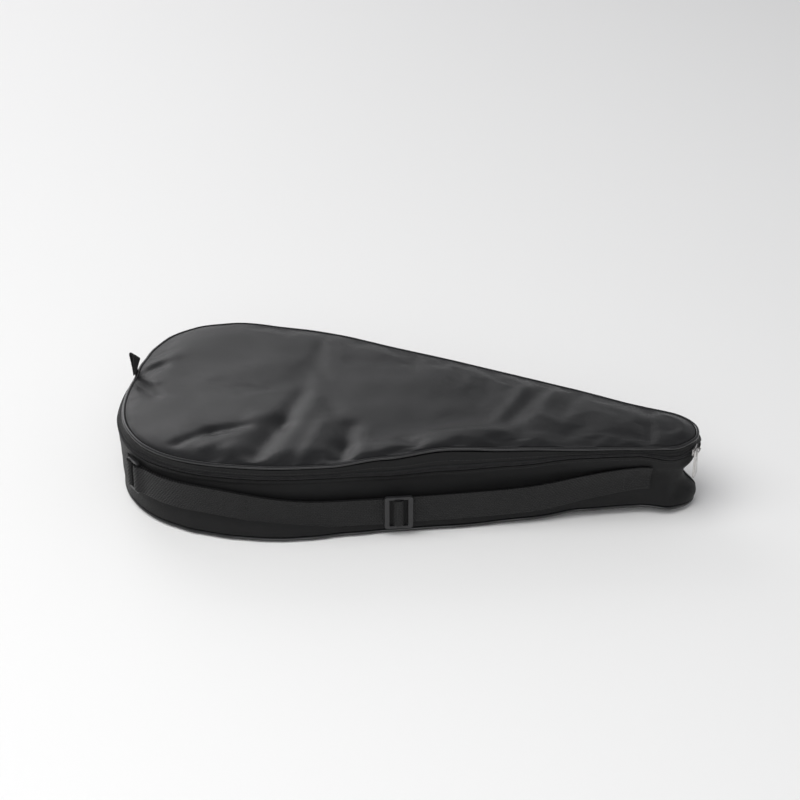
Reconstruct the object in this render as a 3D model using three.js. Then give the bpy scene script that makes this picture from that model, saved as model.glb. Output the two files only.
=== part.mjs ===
// Paddle case: a soft teardrop case for a padel racket, lying on its back panel.
// A crowned front cover and a flat back are joined by a padded side wall. A coil zip runs from the narrow
// end along one side and round the head, and a fabric hinge closes the other side. A webbing strap with a
// rectangular ring and a tri-glide lies on the zip side.
// Millimetres. +X points to the narrow end, -Y to the zip side, +Z up. The origin is under the middle.

import * as THREE from "three";

// ---- driving dimensions ----

const LENGTH = 500;            // head apex to narrow end
const HALF_WIDTH = 125;        // at the widest point of the head
const WIDEST_AT = 105;         // from the head apex
const TAPER_START = 180;       // from the head apex, where the straight sides begin
const TAPER_HALF_WIDTH = 116;  // half width at that place
const TIP_RADIUS = 33;         // round narrow end
const ORIGIN_SHIFT = [4.5, 1];  // brings the origin under the middle of the whole box

const FLOOR = 0;
const SKIN = 1.0;              // coated and woven cover fabrics with their backing
const LINING = 0.7;
const FOAM = 4.0;
const GAP = 0.3;               // left between pieces that touch
const PIPING_RADIUS = 2.0;
const FRONT_SEAM_Z = 69;       // centre line of the front piping
const BACK_SEAM_Z = 2.7;       // centre line of the back piping
const CROWN = 3.5;             // how far the front cover bulges above its edge
const CROWN_INSET = 24;        // width of the band that rises to that height

const FACE = 1.4;              // outside of the side wall, measured in from the outline
const ZIP_Z = 59;              // centre line of the zip
const CHAIN_SPLIT = 1.2;       // space between the two coils, where the slider's neck runs
const COIL_HEIGHT = 1.4;
const COIL_DEPTH = 1.6;
const TAPE = 0.6;
const TAPE_WIDTH = 7.5;

const WEBBING = 1.2;           // thickness of the strap's webbing
const STRAP_WIDTH = 25;
const FOLD_HEIGHT = STRAP_WIDTH - 0.6;
const STRAP_TOP_Z = 48;        // upper edge at the two ends
const STRAP_SAG = 12;          // how much lower the strap hangs at the tri-glide
const STRAP_STAND_OFF = 0.5;   // from the side wall's face
const RING_EASE = 0.7;         // play of the ring's bar in its anchor loop

const RING_WIDTH = 16;
const RING_HEIGHT = 31;
const RING_BAR = 3.5;
const RING_THICKNESS = 2.6;
const RING_AT = 104;           // distances along the wall from the head apex
const STRAP_END_AT = 560;

const GLIDE_WIDTH = 24;
const GLIDE_HEIGHT = 31;
const GLIDE_THICKNESS = 2.8;
const GLIDE_BAR = 3;
const GLIDE_SLOT = 6.5;
const GLIDE_AT = 343;

const SLIDER_ANGLE = THREE.MathUtils.degToRad(-14);  // round the narrow end, from +X
const SLIDER_LENGTH = 11;
const TAB_LENGTH = 28;
const TAB_TOP_RADIUS = 3.7;
const TAB_BOTTOM_WIDTH = 10.6;
const TAB_THICKNESS = 1.2;

// ---- colours ----

const finishes = {
  coatedNylon: [0x2b2b2d, 0.42, 0],
  wovenNylon: [0x1b1b1d, 0.85, 0],
  foam: [0x3a3a3c, 0.95, 0],
  lining: [0x242628, 0.8, 0],
  piping: [0x18181a, 0.3, 0],
  tape: [0x161618, 0.9, 0],
  coil: [0x101012, 0.45, 0],
  webbing: [0x141415, 0.8, 0],
  blackPlastic: [0x1a1b1d, 0.35, 0],
  nickel: [0xb9b6b2, 0.28, 1],
};

const group = new THREE.Group();

function addPiece(name, finish, geometry, frame) {
  const [color, roughness, metalness] = finishes[finish];
  const mesh = new THREE.Mesh(geometry, new THREE.MeshStandardMaterial({ color, roughness, metalness }));
  mesh.name = name;
  if (frame) {
    mesh.applyMatrix4(frame);
  }
  group.add(mesh);
}

// ---- the outline, seen from above ----
// One half runs from the head apex along the zip side to the narrow end. The other half is its mirror.

const HEAD_X = -LENGTH / 2;
const tipCentre = new THREE.Vector2(LENGTH / 2 - TIP_RADIUS, 0);
const widest = new THREE.Vector2(HEAD_X + WIDEST_AT, -HALF_WIDTH);
const taperStart = new THREE.Vector2(HEAD_X + TAPER_START, -TAPER_HALF_WIDTH);

const toTip = tipCentre.clone().sub(taperStart);
const taperAngle = toTip.angle() - Math.asin(TIP_RADIUS / toTip.length());
const taperDirection = new THREE.Vector2(Math.cos(taperAngle), Math.sin(taperAngle));
const taperOutward = new THREE.Vector2(taperDirection.y, -taperDirection.x);
const taperEnd = tipCentre.clone().addScaledVector(taperOutward, TIP_RADIUS);

const HEAD_PULL = 90;          // how square the head is: lengths of the curve handles
const BROW_PULL = 60;
const SHOULDER_PULL = 25;

const head = new THREE.CubicBezierCurve(
  new THREE.Vector2(HEAD_X, 0),
  new THREE.Vector2(HEAD_X, -HEAD_PULL),
  new THREE.Vector2(widest.x - BROW_PULL, widest.y),
  widest,
);
const shoulder = new THREE.CubicBezierCurve(
  widest,
  new THREE.Vector2(widest.x + SHOULDER_PULL, widest.y),
  taperStart.clone().addScaledVector(taperDirection, -SHOULDER_PULL),
  taperStart,
);
const taper = new THREE.LineCurve(taperStart, taperEnd);
const tip = new THREE.EllipseCurve(tipCentre.x, tipCentre.y, TIP_RADIUS, TIP_RADIUS, taperOutward.angle(),
  2 * Math.PI);

const HEAD_STEPS = 18;
const SHOULDER_STEPS = 5;
const TAPER_STEPS = 8;
const TIP_STEPS = 8;

function outlineStations() {
  const half = [];
  const parts = [[head, HEAD_STEPS], [shoulder, SHOULDER_STEPS], [taper, TAPER_STEPS], [tip, TIP_STEPS]];
  for (const [curve, steps] of parts) {
    const points = curve.getPoints(steps);
    points.pop();
    half.push(...points);
  }
  half.push(new THREE.Vector2(LENGTH / 2, 0));
  const mirrored = half.slice(1, -1).reverse().map((point) => new THREE.Vector2(point.x, -point.y));
  return [...half, ...mirrored];
}

const stations = outlineStations();
const count = stations.length;

function station(index) {
  return stations[wrapped(index)];
}

// Inward direction at a station, lengthened at a corner so that offset walls stay parallel.
function inward(index) {
  const before = station(index).clone().sub(station(index - 1)).normalize();
  const after = station(index + 1).clone().sub(station(index)).normalize();
  const tangent = before.clone().add(after).normalize();
  const stretch = 1 / tangent.dot(after);
  return new THREE.Vector2(-tangent.y, tangent.x).multiplyScalar(stretch);
}

const inwardAt = stations.map((point, index) => inward(index));

const distances = [0];
for (let index = 1; index <= count; index += 1) {
  distances.push(distances[index - 1] + station(index).distanceTo(station(index - 1)));
}
const PERIMETER = distances[count];
const TIP_AT = PERIMETER / 2;

// Distance along the wall from the head apex (negative on the hinge side) to a fractional station index.
function indexAt(distance) {
  const turns = Math.floor(distance / PERIMETER);
  const rest = distance - turns * PERIMETER;
  let index = 0;
  while (distances[index + 1] < rest) {
    index += 1;
  }
  const part = (rest - distances[index]) / (distances[index + 1] - distances[index]);
  return turns * count + index + part;
}

function wrapped(index) {
  return ((index % count) + count) % count;
}

// The distance along the wall of a fractional station index.
function distanceAt(index) {
  const low = Math.floor(index);
  const start = distances[wrapped(low)];
  const step = distances[wrapped(low) + 1] - start;
  return Math.floor(low / count) * PERIMETER + start + (index - low) * step;
}

// A point of the wall, at a fractional index, a depth in from the outline and a height.
function wallPoint(index, inset, z) {
  const low = Math.floor(index);
  const part = index - low;
  const ends = [low, low + 1].map((place) => {
    return station(place).clone().addScaledVector(inwardAt[wrapped(place)], inset);
  });
  const point = ends[0].lerp(ends[1], part);
  return new THREE.Vector3(point.x, point.y, z);
}

// ---- solids ----

function closedSolid(positions, triangles) {
  const geometry = new THREE.BufferGeometry();
  const numbers = positions.flatMap((point) => point.toArray());
  geometry.setAttribute("position", new THREE.Float32BufferAttribute(numbers, 3));
  geometry.setIndex(triangles);
  geometry.computeVertexNormals();
  return geometry;
}

function capTriangles(profile) {
  const points = profile.map(([inset, z]) => new THREE.Vector2(inset, z));
  return THREE.ShapeUtils.triangulateShape(points, []);
}

// Sweeps a section of [inset, z] points, listed clockwise when inset runs right and z up, along the wall.
// heightAt(distance) may lift the section on its way.
function wallSolid(profile, from = 0, to = PERIMETER, heightAt = () => 0) {
  const closed = to - from >= PERIMETER;
  const first = indexAt(from);
  const last = closed ? first + count : indexAt(to);
  const places = [first];
  for (let index = Math.floor(first) + 1; index < last - 1e-6; index += 1) {
    places.push(index);
  }
  if (!closed) {
    places.push(last);
  }
  const size = profile.length;
  const positions = [];
  for (const place of places) {
    const lift = heightAt(distanceAt(place));
    for (const [inset, z] of profile) {
      positions.push(wallPoint(place, inset, z + lift));
    }
  }
  const triangles = [];
  const spans = closed ? places.length : places.length - 1;
  for (let span = 0; span < spans; span += 1) {
    const next = (span + 1) % places.length;
    for (let side = 0; side < size; side += 1) {
      const other = (side + 1) % size;
      const [a, b] = [span * size + side, span * size + other];
      const [c, d] = [next * size + other, next * size + side];
      triangles.push(a, b, c, a, c, d);
    }
  }
  if (!closed) {
    const end = (places.length - 1) * size;
    for (const [a, b, c] of capTriangles(profile)) {
      triangles.push(a, b, c);
      triangles.push(end + a, end + c, end + b);
    }
  }
  return outwardSolid(positions, triangles);
}

// Stacks closed rings of [inset, z] from the middle of the top, over the edge, to the middle underneath.
function coverSolid(rings) {
  const positions = [];
  for (const [inset, z] of rings) {
    for (let index = 0; index < count; index += 1) {
      positions.push(wallPoint(index, inset, z));
    }
  }
  const triangles = [];
  for (let ring = 0; ring < rings.length - 1; ring += 1) {
    for (let index = 0; index < count; index += 1) {
      const next = (index + 1) % count;
      const [a, b] = [ring * count + index, ring * count + next];
      const [c, d] = [(ring + 1) * count + next, (ring + 1) * count + index];
      triangles.push(a, d, c, a, c, b);
    }
  }
  const top = positions.slice(0, count).map((p) => new THREE.Vector2(p.x, p.y));
  const base = (rings.length - 1) * count;
  const under = positions.slice(base).map((p) => new THREE.Vector2(p.x, p.y));
  for (const [a, b, c] of THREE.ShapeUtils.triangulateShape(top, [])) {
    triangles.push(a, b, c);
  }
  for (const [a, b, c] of THREE.ShapeUtils.triangulateShape(under, [])) {
    triangles.push(base + a, base + c, base + b);
  }
  return outwardSolid(positions, triangles);
}

// Turns every face round when the enclosed volume comes out negative.
function outwardSolid(positions, triangles) {
  let volume = 0;
  for (let index = 0; index < triangles.length; index += 3) {
    const [a, b, c] = triangles.slice(index, index + 3).map((corner) => positions[corner]);
    volume += a.dot(b.clone().cross(c));
  }
  if (volume < 0) {
    for (let index = 0; index < triangles.length; index += 3) {
      [triangles[index + 1], triangles[index + 2]] = [triangles[index + 2], triangles[index + 1]];
    }
  }
  return closedSolid(positions, triangles);
}

function box(insetLow, insetHigh, zLow, zHigh) {
  return [[insetLow, zLow], [insetLow, zHigh], [insetHigh, zHigh], [insetHigh, zLow]];
}

function round(inset, z, radius, sides = 6) {
  const points = [];
  for (let side = 0; side < sides; side += 1) {
    const angle = (-2 * Math.PI * (side + 0.5)) / sides;
    points.push([inset + radius * Math.cos(angle), z + radius * Math.sin(angle)]);
  }
  return points;
}

function plate(shape, thickness) {
  return new THREE.ExtrudeGeometry(shape, { depth: thickness, bevelEnabled: false, curveSegments: 6 });
}

function roundedRectangle(path, width, height, radius, middleX = 0, middleY = 0) {
  const [right, top] = [width / 2, height / 2];
  path.moveTo(middleX + right, middleY - top + radius);
  path.lineTo(middleX + right, middleY + top - radius);
  path.absarc(middleX + right - radius, middleY + top - radius, radius, 0, Math.PI / 2);
  path.lineTo(middleX - right + radius, middleY + top);
  path.absarc(middleX - right + radius, middleY + top - radius, radius, Math.PI / 2, Math.PI);
  path.lineTo(middleX - right, middleY - top + radius);
  path.absarc(middleX - right + radius, middleY - top + radius, radius, Math.PI, 1.5 * Math.PI);
  path.lineTo(middleX + right - radius, middleY - top);
  path.absarc(middleX + right - radius, middleY - top + radius, radius, 1.5 * Math.PI, 2 * Math.PI);
  return path;
}

// Frame on the wall: x along it towards the narrow end, y up, z straight out. Its zero is on the wall's face.
function wallFrame(distance, z) {
  const here = wallPoint(indexAt(distance), FACE, z);
  const behind = wallPoint(indexAt(distance - 1), FACE, z);
  const ahead = wallPoint(indexAt(distance + 1), FACE, z);
  const along = ahead.sub(behind).normalize();
  const up = new THREE.Vector3(0, 0, 1);
  const out = along.clone().cross(up);
  return new THREE.Matrix4().makeBasis(along, up, out).setPosition(here);
}

function lifted(frame, x, y, z) {
  return frame.clone().multiply(new THREE.Matrix4().makeTranslation(x, y, z));
}

// Frame for a webbing fold drawn in plan and standing upright: x runs along the wall, y outwards.
function standingPlan(frame) {
  const axes = new THREE.Matrix4().makeBasis(
    new THREE.Vector3(1, 0, 0),
    new THREE.Vector3(0, 0, 1),
    new THREE.Vector3(0, -1, 0),
  );
  return lifted(frame, 0, FOLD_HEIGHT / 2, 0).multiply(axes);
}

// ---- front cover ----

const EDGE = 2 * PIPING_RADIUS + 0.4;      // covers stop inside the piping
const PADDING_EDGE = EDGE + 0.6;
const frontTop = FRONT_SEAM_Z + 1.2;

addPiece("front_panel", "coatedNylon", coverSolid([
  [CROWN_INSET, frontTop + CROWN],
  [EDGE + 8, frontTop + CROWN * 0.6],
  [EDGE, frontTop],
  [EDGE, frontTop - SKIN],
  [EDGE + 8, frontTop + CROWN * 0.6 - SKIN],
  [CROWN_INSET, frontTop + CROWN - SKIN],
]));

const frontFoamTop = frontTop - SKIN - GAP;
const frontFoamBottom = frontFoamTop - FOAM;
addPiece("front_padding", "foam", coverSolid([
  [CROWN_INSET, frontFoamTop + CROWN],
  [PADDING_EDGE + 8, frontFoamTop + CROWN * 0.55],
  [PADDING_EDGE, frontFoamTop - 0.5],
  [PADDING_EDGE, frontFoamBottom],
]));

const frontLiningTop = frontFoamBottom - GAP;
addPiece("front_lining", "lining", coverSolid([
  [PADDING_EDGE, frontLiningTop],
  [PADDING_EDGE, frontLiningTop - LINING],
]));

addPiece("front_piping", "piping", wallSolid(round(PIPING_RADIUS, FRONT_SEAM_Z, PIPING_RADIUS)));

// ---- back cover ----

addPiece("back_panel", "wovenNylon", coverSolid([
  [EDGE, FLOOR + SKIN],
  [EDGE, FLOOR],
]));

const backFoamBottom = FLOOR + SKIN + GAP;
addPiece("back_padding", "foam", coverSolid([
  [PADDING_EDGE, backFoamBottom + FOAM],
  [PADDING_EDGE, backFoamBottom],
]));

const backLiningBottom = backFoamBottom + FOAM + GAP;
const backLiningTop = backLiningBottom + LINING;
addPiece("back_lining", "lining", coverSolid([
  [PADDING_EDGE, backLiningTop],
  [PADDING_EDGE, backLiningBottom],
]));

addPiece("back_piping", "piping", wallSolid(round(PIPING_RADIUS, BACK_SEAM_Z, PIPING_RADIUS)));

// ---- side wall and zip ----
// The zip runs from the far end of the hinge side, round the head and along the strap side, to the tip.

const headCurveLength = distances[HEAD_STEPS + SHOULDER_STEPS];  // to where the side is straight
const ZIP_START = -headCurveLength;
const ZIP_END = TIP_AT + 8;
const HINGE_START = ZIP_END + GAP;
const HINGE_END = PERIMETER + ZIP_START - GAP;

const wallTop = FRONT_SEAM_Z - PIPING_RADIUS - GAP;
const wallBottom = BACK_SEAM_Z + PIPING_RADIUS + GAP;
const upperCoilLow = ZIP_Z + CHAIN_SPLIT / 2;
const lowerCoilHigh = ZIP_Z - CHAIN_SPLIT / 2;
const upperWallLow = upperCoilLow + COIL_HEIGHT + 0.4;
const lowerWallHigh = lowerCoilHigh - COIL_HEIGHT - 0.4;

addPiece("upper_gusset", "wovenNylon",
  wallSolid(box(FACE, FACE + SKIN, upperWallLow, wallTop), ZIP_START, ZIP_END));
addPiece("lower_gusset", "wovenNylon",
  wallSolid(box(FACE, FACE + SKIN, wallBottom, lowerWallHigh), ZIP_START, ZIP_END));
addPiece("hinge_gusset", "wovenNylon",
  wallSolid(box(FACE, FACE + SKIN, wallBottom, wallTop), HINGE_START, HINGE_END));

const coilFace = FACE - 0.2;
const CHAIN_END = TIP_AT - 2.2;
function addCoil(name, low) {
  const section = box(coilFace, coilFace + COIL_DEPTH, low, low + COIL_HEIGHT);
  addPiece(name, "coil", wallSolid(section, ZIP_START + 6, CHAIN_END));
}
addCoil("upper_zip_coil", upperCoilLow);
addCoil("lower_zip_coil", lowerCoilHigh - COIL_HEIGHT);

const tapeFace = coilFace + COIL_DEPTH + GAP;
addPiece("upper_zip_tape", "tape",
  wallSolid(box(tapeFace, tapeFace + TAPE, upperCoilLow, wallTop - 1.1), ZIP_START, ZIP_END));
addPiece("lower_zip_tape", "tape",
  wallSolid(box(tapeFace, tapeFace + TAPE, lowerCoilHigh - TAPE_WIDTH, lowerCoilHigh), ZIP_START, ZIP_END));

// The stops close both ends of the lower coil, clear of the cover's half of the zip.
function zipStop(name, from) {
  const section = box(coilFace - 0.8, tapeFace - GAP, lowerCoilHigh - COIL_HEIGHT - 0.3, lowerCoilHigh);
  addPiece(name, "nickel", wallSolid(section, from, from + 2.6));
}
zipStop("zip_bottom_stop", ZIP_START + 3);
zipStop("zip_top_stop", CHAIN_END + GAP);

const wallFoamFace = tapeFace + TAPE + GAP;
const WALL_FOAM = 3.0;
addPiece("wall_padding", "foam",
  wallSolid(box(wallFoamFace, wallFoamFace + WALL_FOAM, backLiningTop + 1.5, 53.5)));
const wallLiningFace = wallFoamFace + WALL_FOAM + GAP;
addPiece("wall_lining", "lining",
  wallSolid(box(wallLiningFace, wallLiningFace + LINING, backLiningTop + GAP, 54)));

const bindingFace = wallLiningFace + LINING + GAP;
const BINDING = 1.2;
const BINDING_WIDTH = 3.2;
function addBinding(name, low) {
  addPiece(name, "tape", wallSolid(box(bindingFace, bindingFace + BINDING, low, low + BINDING_WIDTH)));
}
addBinding("back_seam_binding", backLiningTop + GAP);
addBinding("front_seam_binding", frontLiningTop - LINING - GAP - BINDING_WIDTH);

// ---- hang loop, folded tape sewn into the head's front seam ----
// It stands up and outwards just beyond the apex. Its section is drawn along that direction.

const LOOP_AT = -16;
const LOOP_WIDTH = 12;
const LOOP_REACH = 18;
const LOOP_HALF_THICKNESS = 1.9;
const LOOP_RISE = THREE.MathUtils.degToRad(66);
const loopShape = new THREE.Shape();
loopShape.moveTo(0, -1.1);
loopShape.lineTo(LOOP_REACH - 3, -LOOP_HALF_THICKNESS);
loopShape.quadraticCurveTo(LOOP_REACH, -LOOP_HALF_THICKNESS, LOOP_REACH, 0);
loopShape.quadraticCurveTo(LOOP_REACH, LOOP_HALF_THICKNESS, LOOP_REACH - 3, LOOP_HALF_THICKNESS);
loopShape.lineTo(0, 1.1);
loopShape.holes.push(roundedRectangle(new THREE.Path(), LOOP_REACH - 8, 1.6, 0.7, LOOP_REACH / 2 + 2, 0));
const loopWall = wallFrame(LOOP_AT, FRONT_SEAM_Z + 0.5);
const loopFrame = lifted(loopWall, LOOP_WIDTH / 2, 0, FACE + 1.6).multiply(new THREE.Matrix4().makeBasis(
  new THREE.Vector3(0, Math.sin(LOOP_RISE), Math.cos(LOOP_RISE)),
  new THREE.Vector3(0, Math.cos(LOOP_RISE), -Math.sin(LOOP_RISE)),
  new THREE.Vector3(-1, 0, 0),
));
addPiece("hang_loop", "webbing", plate(loopShape, LOOP_WIDTH), loopFrame);

// ---- strap ----
// The strap is sewn down near the tip, runs back along the wall to the ring, folds round the ring's bar and
// returns on top of itself to the tri-glide. It hangs lowest between the head and the tri-glide.

const SAG_START = 165;         // where the strap starts to come down
const SAG_END = 285;           // and where it is lowest
const RISE_START = 335;        // from here it rises steadily to its sewn end
const RISE_POWER = 1.8;

function strapLift(distance) {
  const down = THREE.MathUtils.smoothstep(distance, SAG_START, SAG_END);
  const share = THREE.MathUtils.clamp((distance - RISE_START) / (STRAP_END_AT - RISE_START), 0, 1);
  return -STRAP_SAG * (down - share ** RISE_POWER);
}

const strapLow = STRAP_TOP_Z - STRAP_WIDTH;
const mainInset = FACE - STRAP_STAND_OFF;
const returnInset = mainInset - WEBBING - GAP;
const WRAP_REACH = 14;

addPiece("strap_main", "webbing",
  wallSolid(box(mainInset - WEBBING, mainInset, strapLow, STRAP_TOP_Z), RING_AT + WRAP_REACH + GAP + 0.5,
    STRAP_END_AT, strapLift));
addPiece("strap_return", "webbing",
  wallSolid(box(returnInset - WEBBING, returnInset, strapLow - 0.5, STRAP_TOP_Z - 0.5),
    RING_AT + WRAP_REACH + GAP + 0.8, GLIDE_AT - GLIDE_BAR, strapLift));

// The ring stands over the wall in its own frame. The wall curves away under it on both sides.
const ringFrame = wallFrame(RING_AT, STRAP_TOP_Z - STRAP_WIDTH / 2);
const ringBack = STRAP_STAND_OFF + WEBBING + RING_EASE;
const ringShape = roundedRectangle(new THREE.Shape(), RING_WIDTH, RING_HEIGHT, 2.5);
const ringHoleWidth = RING_WIDTH - 2 * RING_BAR;
ringShape.holes.push(roundedRectangle(new THREE.Path(), ringHoleWidth, RING_HEIGHT - 2 * 2.7, 0.8));
addPiece("strap_ring", "blackPlastic", plate(ringShape, RING_THICKNESS), lifted(ringFrame, 0, 0, ringBack));

// Plan sections of the two folds round the ring's bars: x along the wall, y outwards, from the wall's face.
const foldInner = ringHoleWidth / 2 - RING_EASE - WEBBING;
const ringFront = ringBack + RING_THICKNESS + RING_EASE;
const wrapShape = new THREE.Shape();
wrapShape.moveTo(foldInner, STRAP_STAND_OFF);
wrapShape.lineTo(WRAP_REACH, STRAP_STAND_OFF);
wrapShape.lineTo(WRAP_REACH, STRAP_STAND_OFF + WEBBING);
wrapShape.lineTo(foldInner + WEBBING, STRAP_STAND_OFF + WEBBING);
wrapShape.lineTo(foldInner + WEBBING, ringFront);
wrapShape.lineTo(RING_WIDTH / 2 + RING_EASE, ringFront);
wrapShape.lineTo(WRAP_REACH, STRAP_STAND_OFF + WEBBING + GAP + 0.6);
wrapShape.lineTo(WRAP_REACH, STRAP_STAND_OFF + WEBBING * 2 + GAP + 0.6);
wrapShape.lineTo(RING_WIDTH / 2 + RING_EASE + 0.3, ringFront + WEBBING);
wrapShape.lineTo(foldInner, ringFront + WEBBING);
addPiece("strap_ring_fold", "webbing", plate(wrapShape, FOLD_HEIGHT), standingPlan(ringFrame));

const ANCHOR_REACH = 17;
const anchorShape = new THREE.Shape();
anchorShape.moveTo(-foldInner, STRAP_STAND_OFF);
anchorShape.lineTo(-foldInner, ringFront + WEBBING);
anchorShape.lineTo(-RING_WIDTH / 2 - RING_EASE - 0.6, ringFront + WEBBING);
anchorShape.lineTo(-ANCHOR_REACH, STRAP_STAND_OFF + 2 * WEBBING);
anchorShape.lineTo(-ANCHOR_REACH, STRAP_STAND_OFF);
const anchorHole = new THREE.Path();
anchorHole.moveTo(-foldInner - WEBBING, STRAP_STAND_OFF + WEBBING);
anchorHole.lineTo(-RING_WIDTH / 2 - RING_EASE, STRAP_STAND_OFF + WEBBING);
anchorHole.lineTo(-RING_WIDTH / 2 - RING_EASE, ringFront);
anchorHole.lineTo(-foldInner - WEBBING, ringFront);
anchorShape.holes.push(anchorHole);
addPiece("ring_anchor_loop", "webbing", plate(anchorShape, FOLD_HEIGHT), standingPlan(ringFrame));

// ---- tri-glide, with the strap's end folded over its middle bar ----

const glideFrame = wallFrame(GLIDE_AT, STRAP_TOP_Z - STRAP_WIDTH / 2 - STRAP_SAG);
const glideBack = STRAP_STAND_OFF + 2 * (WEBBING + GAP);
const glideShape = roundedRectangle(new THREE.Shape(), GLIDE_WIDTH, GLIDE_HEIGHT, 2.5);
const slotMiddle = GLIDE_BAR / 2 + GLIDE_SLOT / 2;
for (const side of [-1, 1]) {
  glideShape.holes.push(
    roundedRectangle(new THREE.Path(), GLIDE_SLOT, GLIDE_HEIGHT - 5, 0.8, side * slotMiddle, 0));
}
addPiece("tri_glide", "blackPlastic", plate(glideShape, GLIDE_THICKNESS),
  lifted(glideFrame, 0, 0, glideBack));

const foldOutside = GLIDE_BAR / 2 + GAP + WEBBING;
const foldTop = glideBack + GLIDE_THICKNESS + GAP + WEBBING;
const foldShape = new THREE.Shape();
foldShape.moveTo(foldOutside, glideBack + GAP);
foldShape.lineTo(foldOutside, foldTop - 0.6);
foldShape.lineTo(foldOutside - 0.6, foldTop);
foldShape.lineTo(-foldOutside + 0.6, foldTop);
foldShape.lineTo(-foldOutside, foldTop - 0.6);
foldShape.lineTo(-foldOutside, glideBack + GAP);
foldShape.lineTo(-foldOutside + WEBBING, glideBack + GAP);
foldShape.lineTo(-foldOutside + WEBBING, foldTop - WEBBING);
foldShape.lineTo(foldOutside - WEBBING, foldTop - WEBBING);
foldShape.lineTo(foldOutside - WEBBING, glideBack + GAP);
addPiece("strap_glide_fold", "webbing", plate(foldShape, FOLD_HEIGHT), standingPlan(glideFrame));

// ---- zip slider and pull tab, on the narrow end ----
// Radii are measured from the middle of the tip's arc. Angles are measured round it from +X.

const tipFrame = new THREE.Matrix4().makeTranslation(tipCentre.x, tipCentre.y, 0);
const sliderFrame = tipFrame.clone().multiply(new THREE.Matrix4().makeRotationZ(SLIDER_ANGLE));

const plateOuter = TIP_RADIUS + 1.3;       // outer plate, in front of the coils
const plateInner = TIP_RADIUS - 0.4;
const backPlateOuter = TIP_RADIUS - tapeFace - TAPE - 0.5;
const backPlateInner = backPlateOuter - 1.2;
const SLIDER_HALF_HEIGHT = 4.3;
const NECK_HALF = 0.25;
const sliderSection = [
  [backPlateInner, -SLIDER_HALF_HEIGHT + 0.4],
  [backPlateOuter, -SLIDER_HALF_HEIGHT + 0.4],
  [backPlateOuter, -NECK_HALF],
  [plateInner, -NECK_HALF],
  [plateInner, -SLIDER_HALF_HEIGHT],
  [plateOuter, -SLIDER_HALF_HEIGHT],
  [plateOuter, SLIDER_HALF_HEIGHT],
  [plateInner, SLIDER_HALF_HEIGHT],
  [plateInner, NECK_HALF],
  [backPlateOuter, NECK_HALF],
  [backPlateOuter, SLIDER_HALF_HEIGHT - 0.4],
  [backPlateInner, SLIDER_HALF_HEIGHT - 0.4],
];

function turnedSection(section, angle, steps) {
  const size = section.length;
  const positions = [];
  for (let step = 0; step <= steps; step += 1) {
    const turn = angle * (step / steps - 0.5);
    for (const [radius, z] of section) {
      positions.push(new THREE.Vector3(radius * Math.cos(turn), radius * Math.sin(turn), z));
    }
  }
  const triangles = [];
  for (let step = 0; step < steps; step += 1) {
    for (let side = 0; side < size; side += 1) {
      const other = (side + 1) % size;
      const [a, b] = [step * size + side, step * size + other];
      triangles.push(a, b, b + size, a, b + size, a + size);
    }
  }
  const end = steps * size;
  for (const [a, b, c] of capTriangles(section)) {
    triangles.push(a, c, b);
    triangles.push(end + a, end + b, end + c);
  }
  return outwardSolid(positions, triangles);
}

addPiece("slider_body", "nickel", turnedSection(sliderSection, SLIDER_LENGTH / TIP_RADIUS, 4),
  lifted(sliderFrame, 0, 0, ZIP_Z));

// The bridge is an arch along the zip. One of its legs passes through the pull tab's hole.
const BRIDGE_SPAN = 6.8;
const BRIDGE_LEG = 1.4;
const BRIDGE_HEIGHT = 3.4;
const BRIDGE_WIDTH = 1.6;
const bridgeShape = new THREE.Shape();
bridgeShape.moveTo(0, -BRIDGE_SPAN / 2 - BRIDGE_LEG / 2);
bridgeShape.lineTo(BRIDGE_HEIGHT - 0.8, -BRIDGE_SPAN / 2 - BRIDGE_LEG / 2);
bridgeShape.lineTo(BRIDGE_HEIGHT, -BRIDGE_SPAN / 2 + 0.6);
bridgeShape.lineTo(BRIDGE_HEIGHT, BRIDGE_SPAN / 2 - 0.6);
bridgeShape.lineTo(BRIDGE_HEIGHT - 0.8, BRIDGE_SPAN / 2 + BRIDGE_LEG / 2);
bridgeShape.lineTo(0, BRIDGE_SPAN / 2 + BRIDGE_LEG / 2);
bridgeShape.lineTo(0, BRIDGE_SPAN / 2 - BRIDGE_LEG / 2);
bridgeShape.lineTo(BRIDGE_HEIGHT - 1.1, BRIDGE_SPAN / 2 - BRIDGE_LEG / 2);
bridgeShape.lineTo(BRIDGE_HEIGHT - 1.1, -BRIDGE_SPAN / 2 + BRIDGE_LEG / 2);
bridgeShape.lineTo(0, -BRIDGE_SPAN / 2 + BRIDGE_LEG / 2);
const bridgeBase = plateOuter + GAP;
addPiece("slider_bridge", "nickel", plate(bridgeShape, BRIDGE_WIDTH),
  lifted(sliderFrame, bridgeBase, 0, ZIP_Z - BRIDGE_WIDTH / 2));

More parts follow.
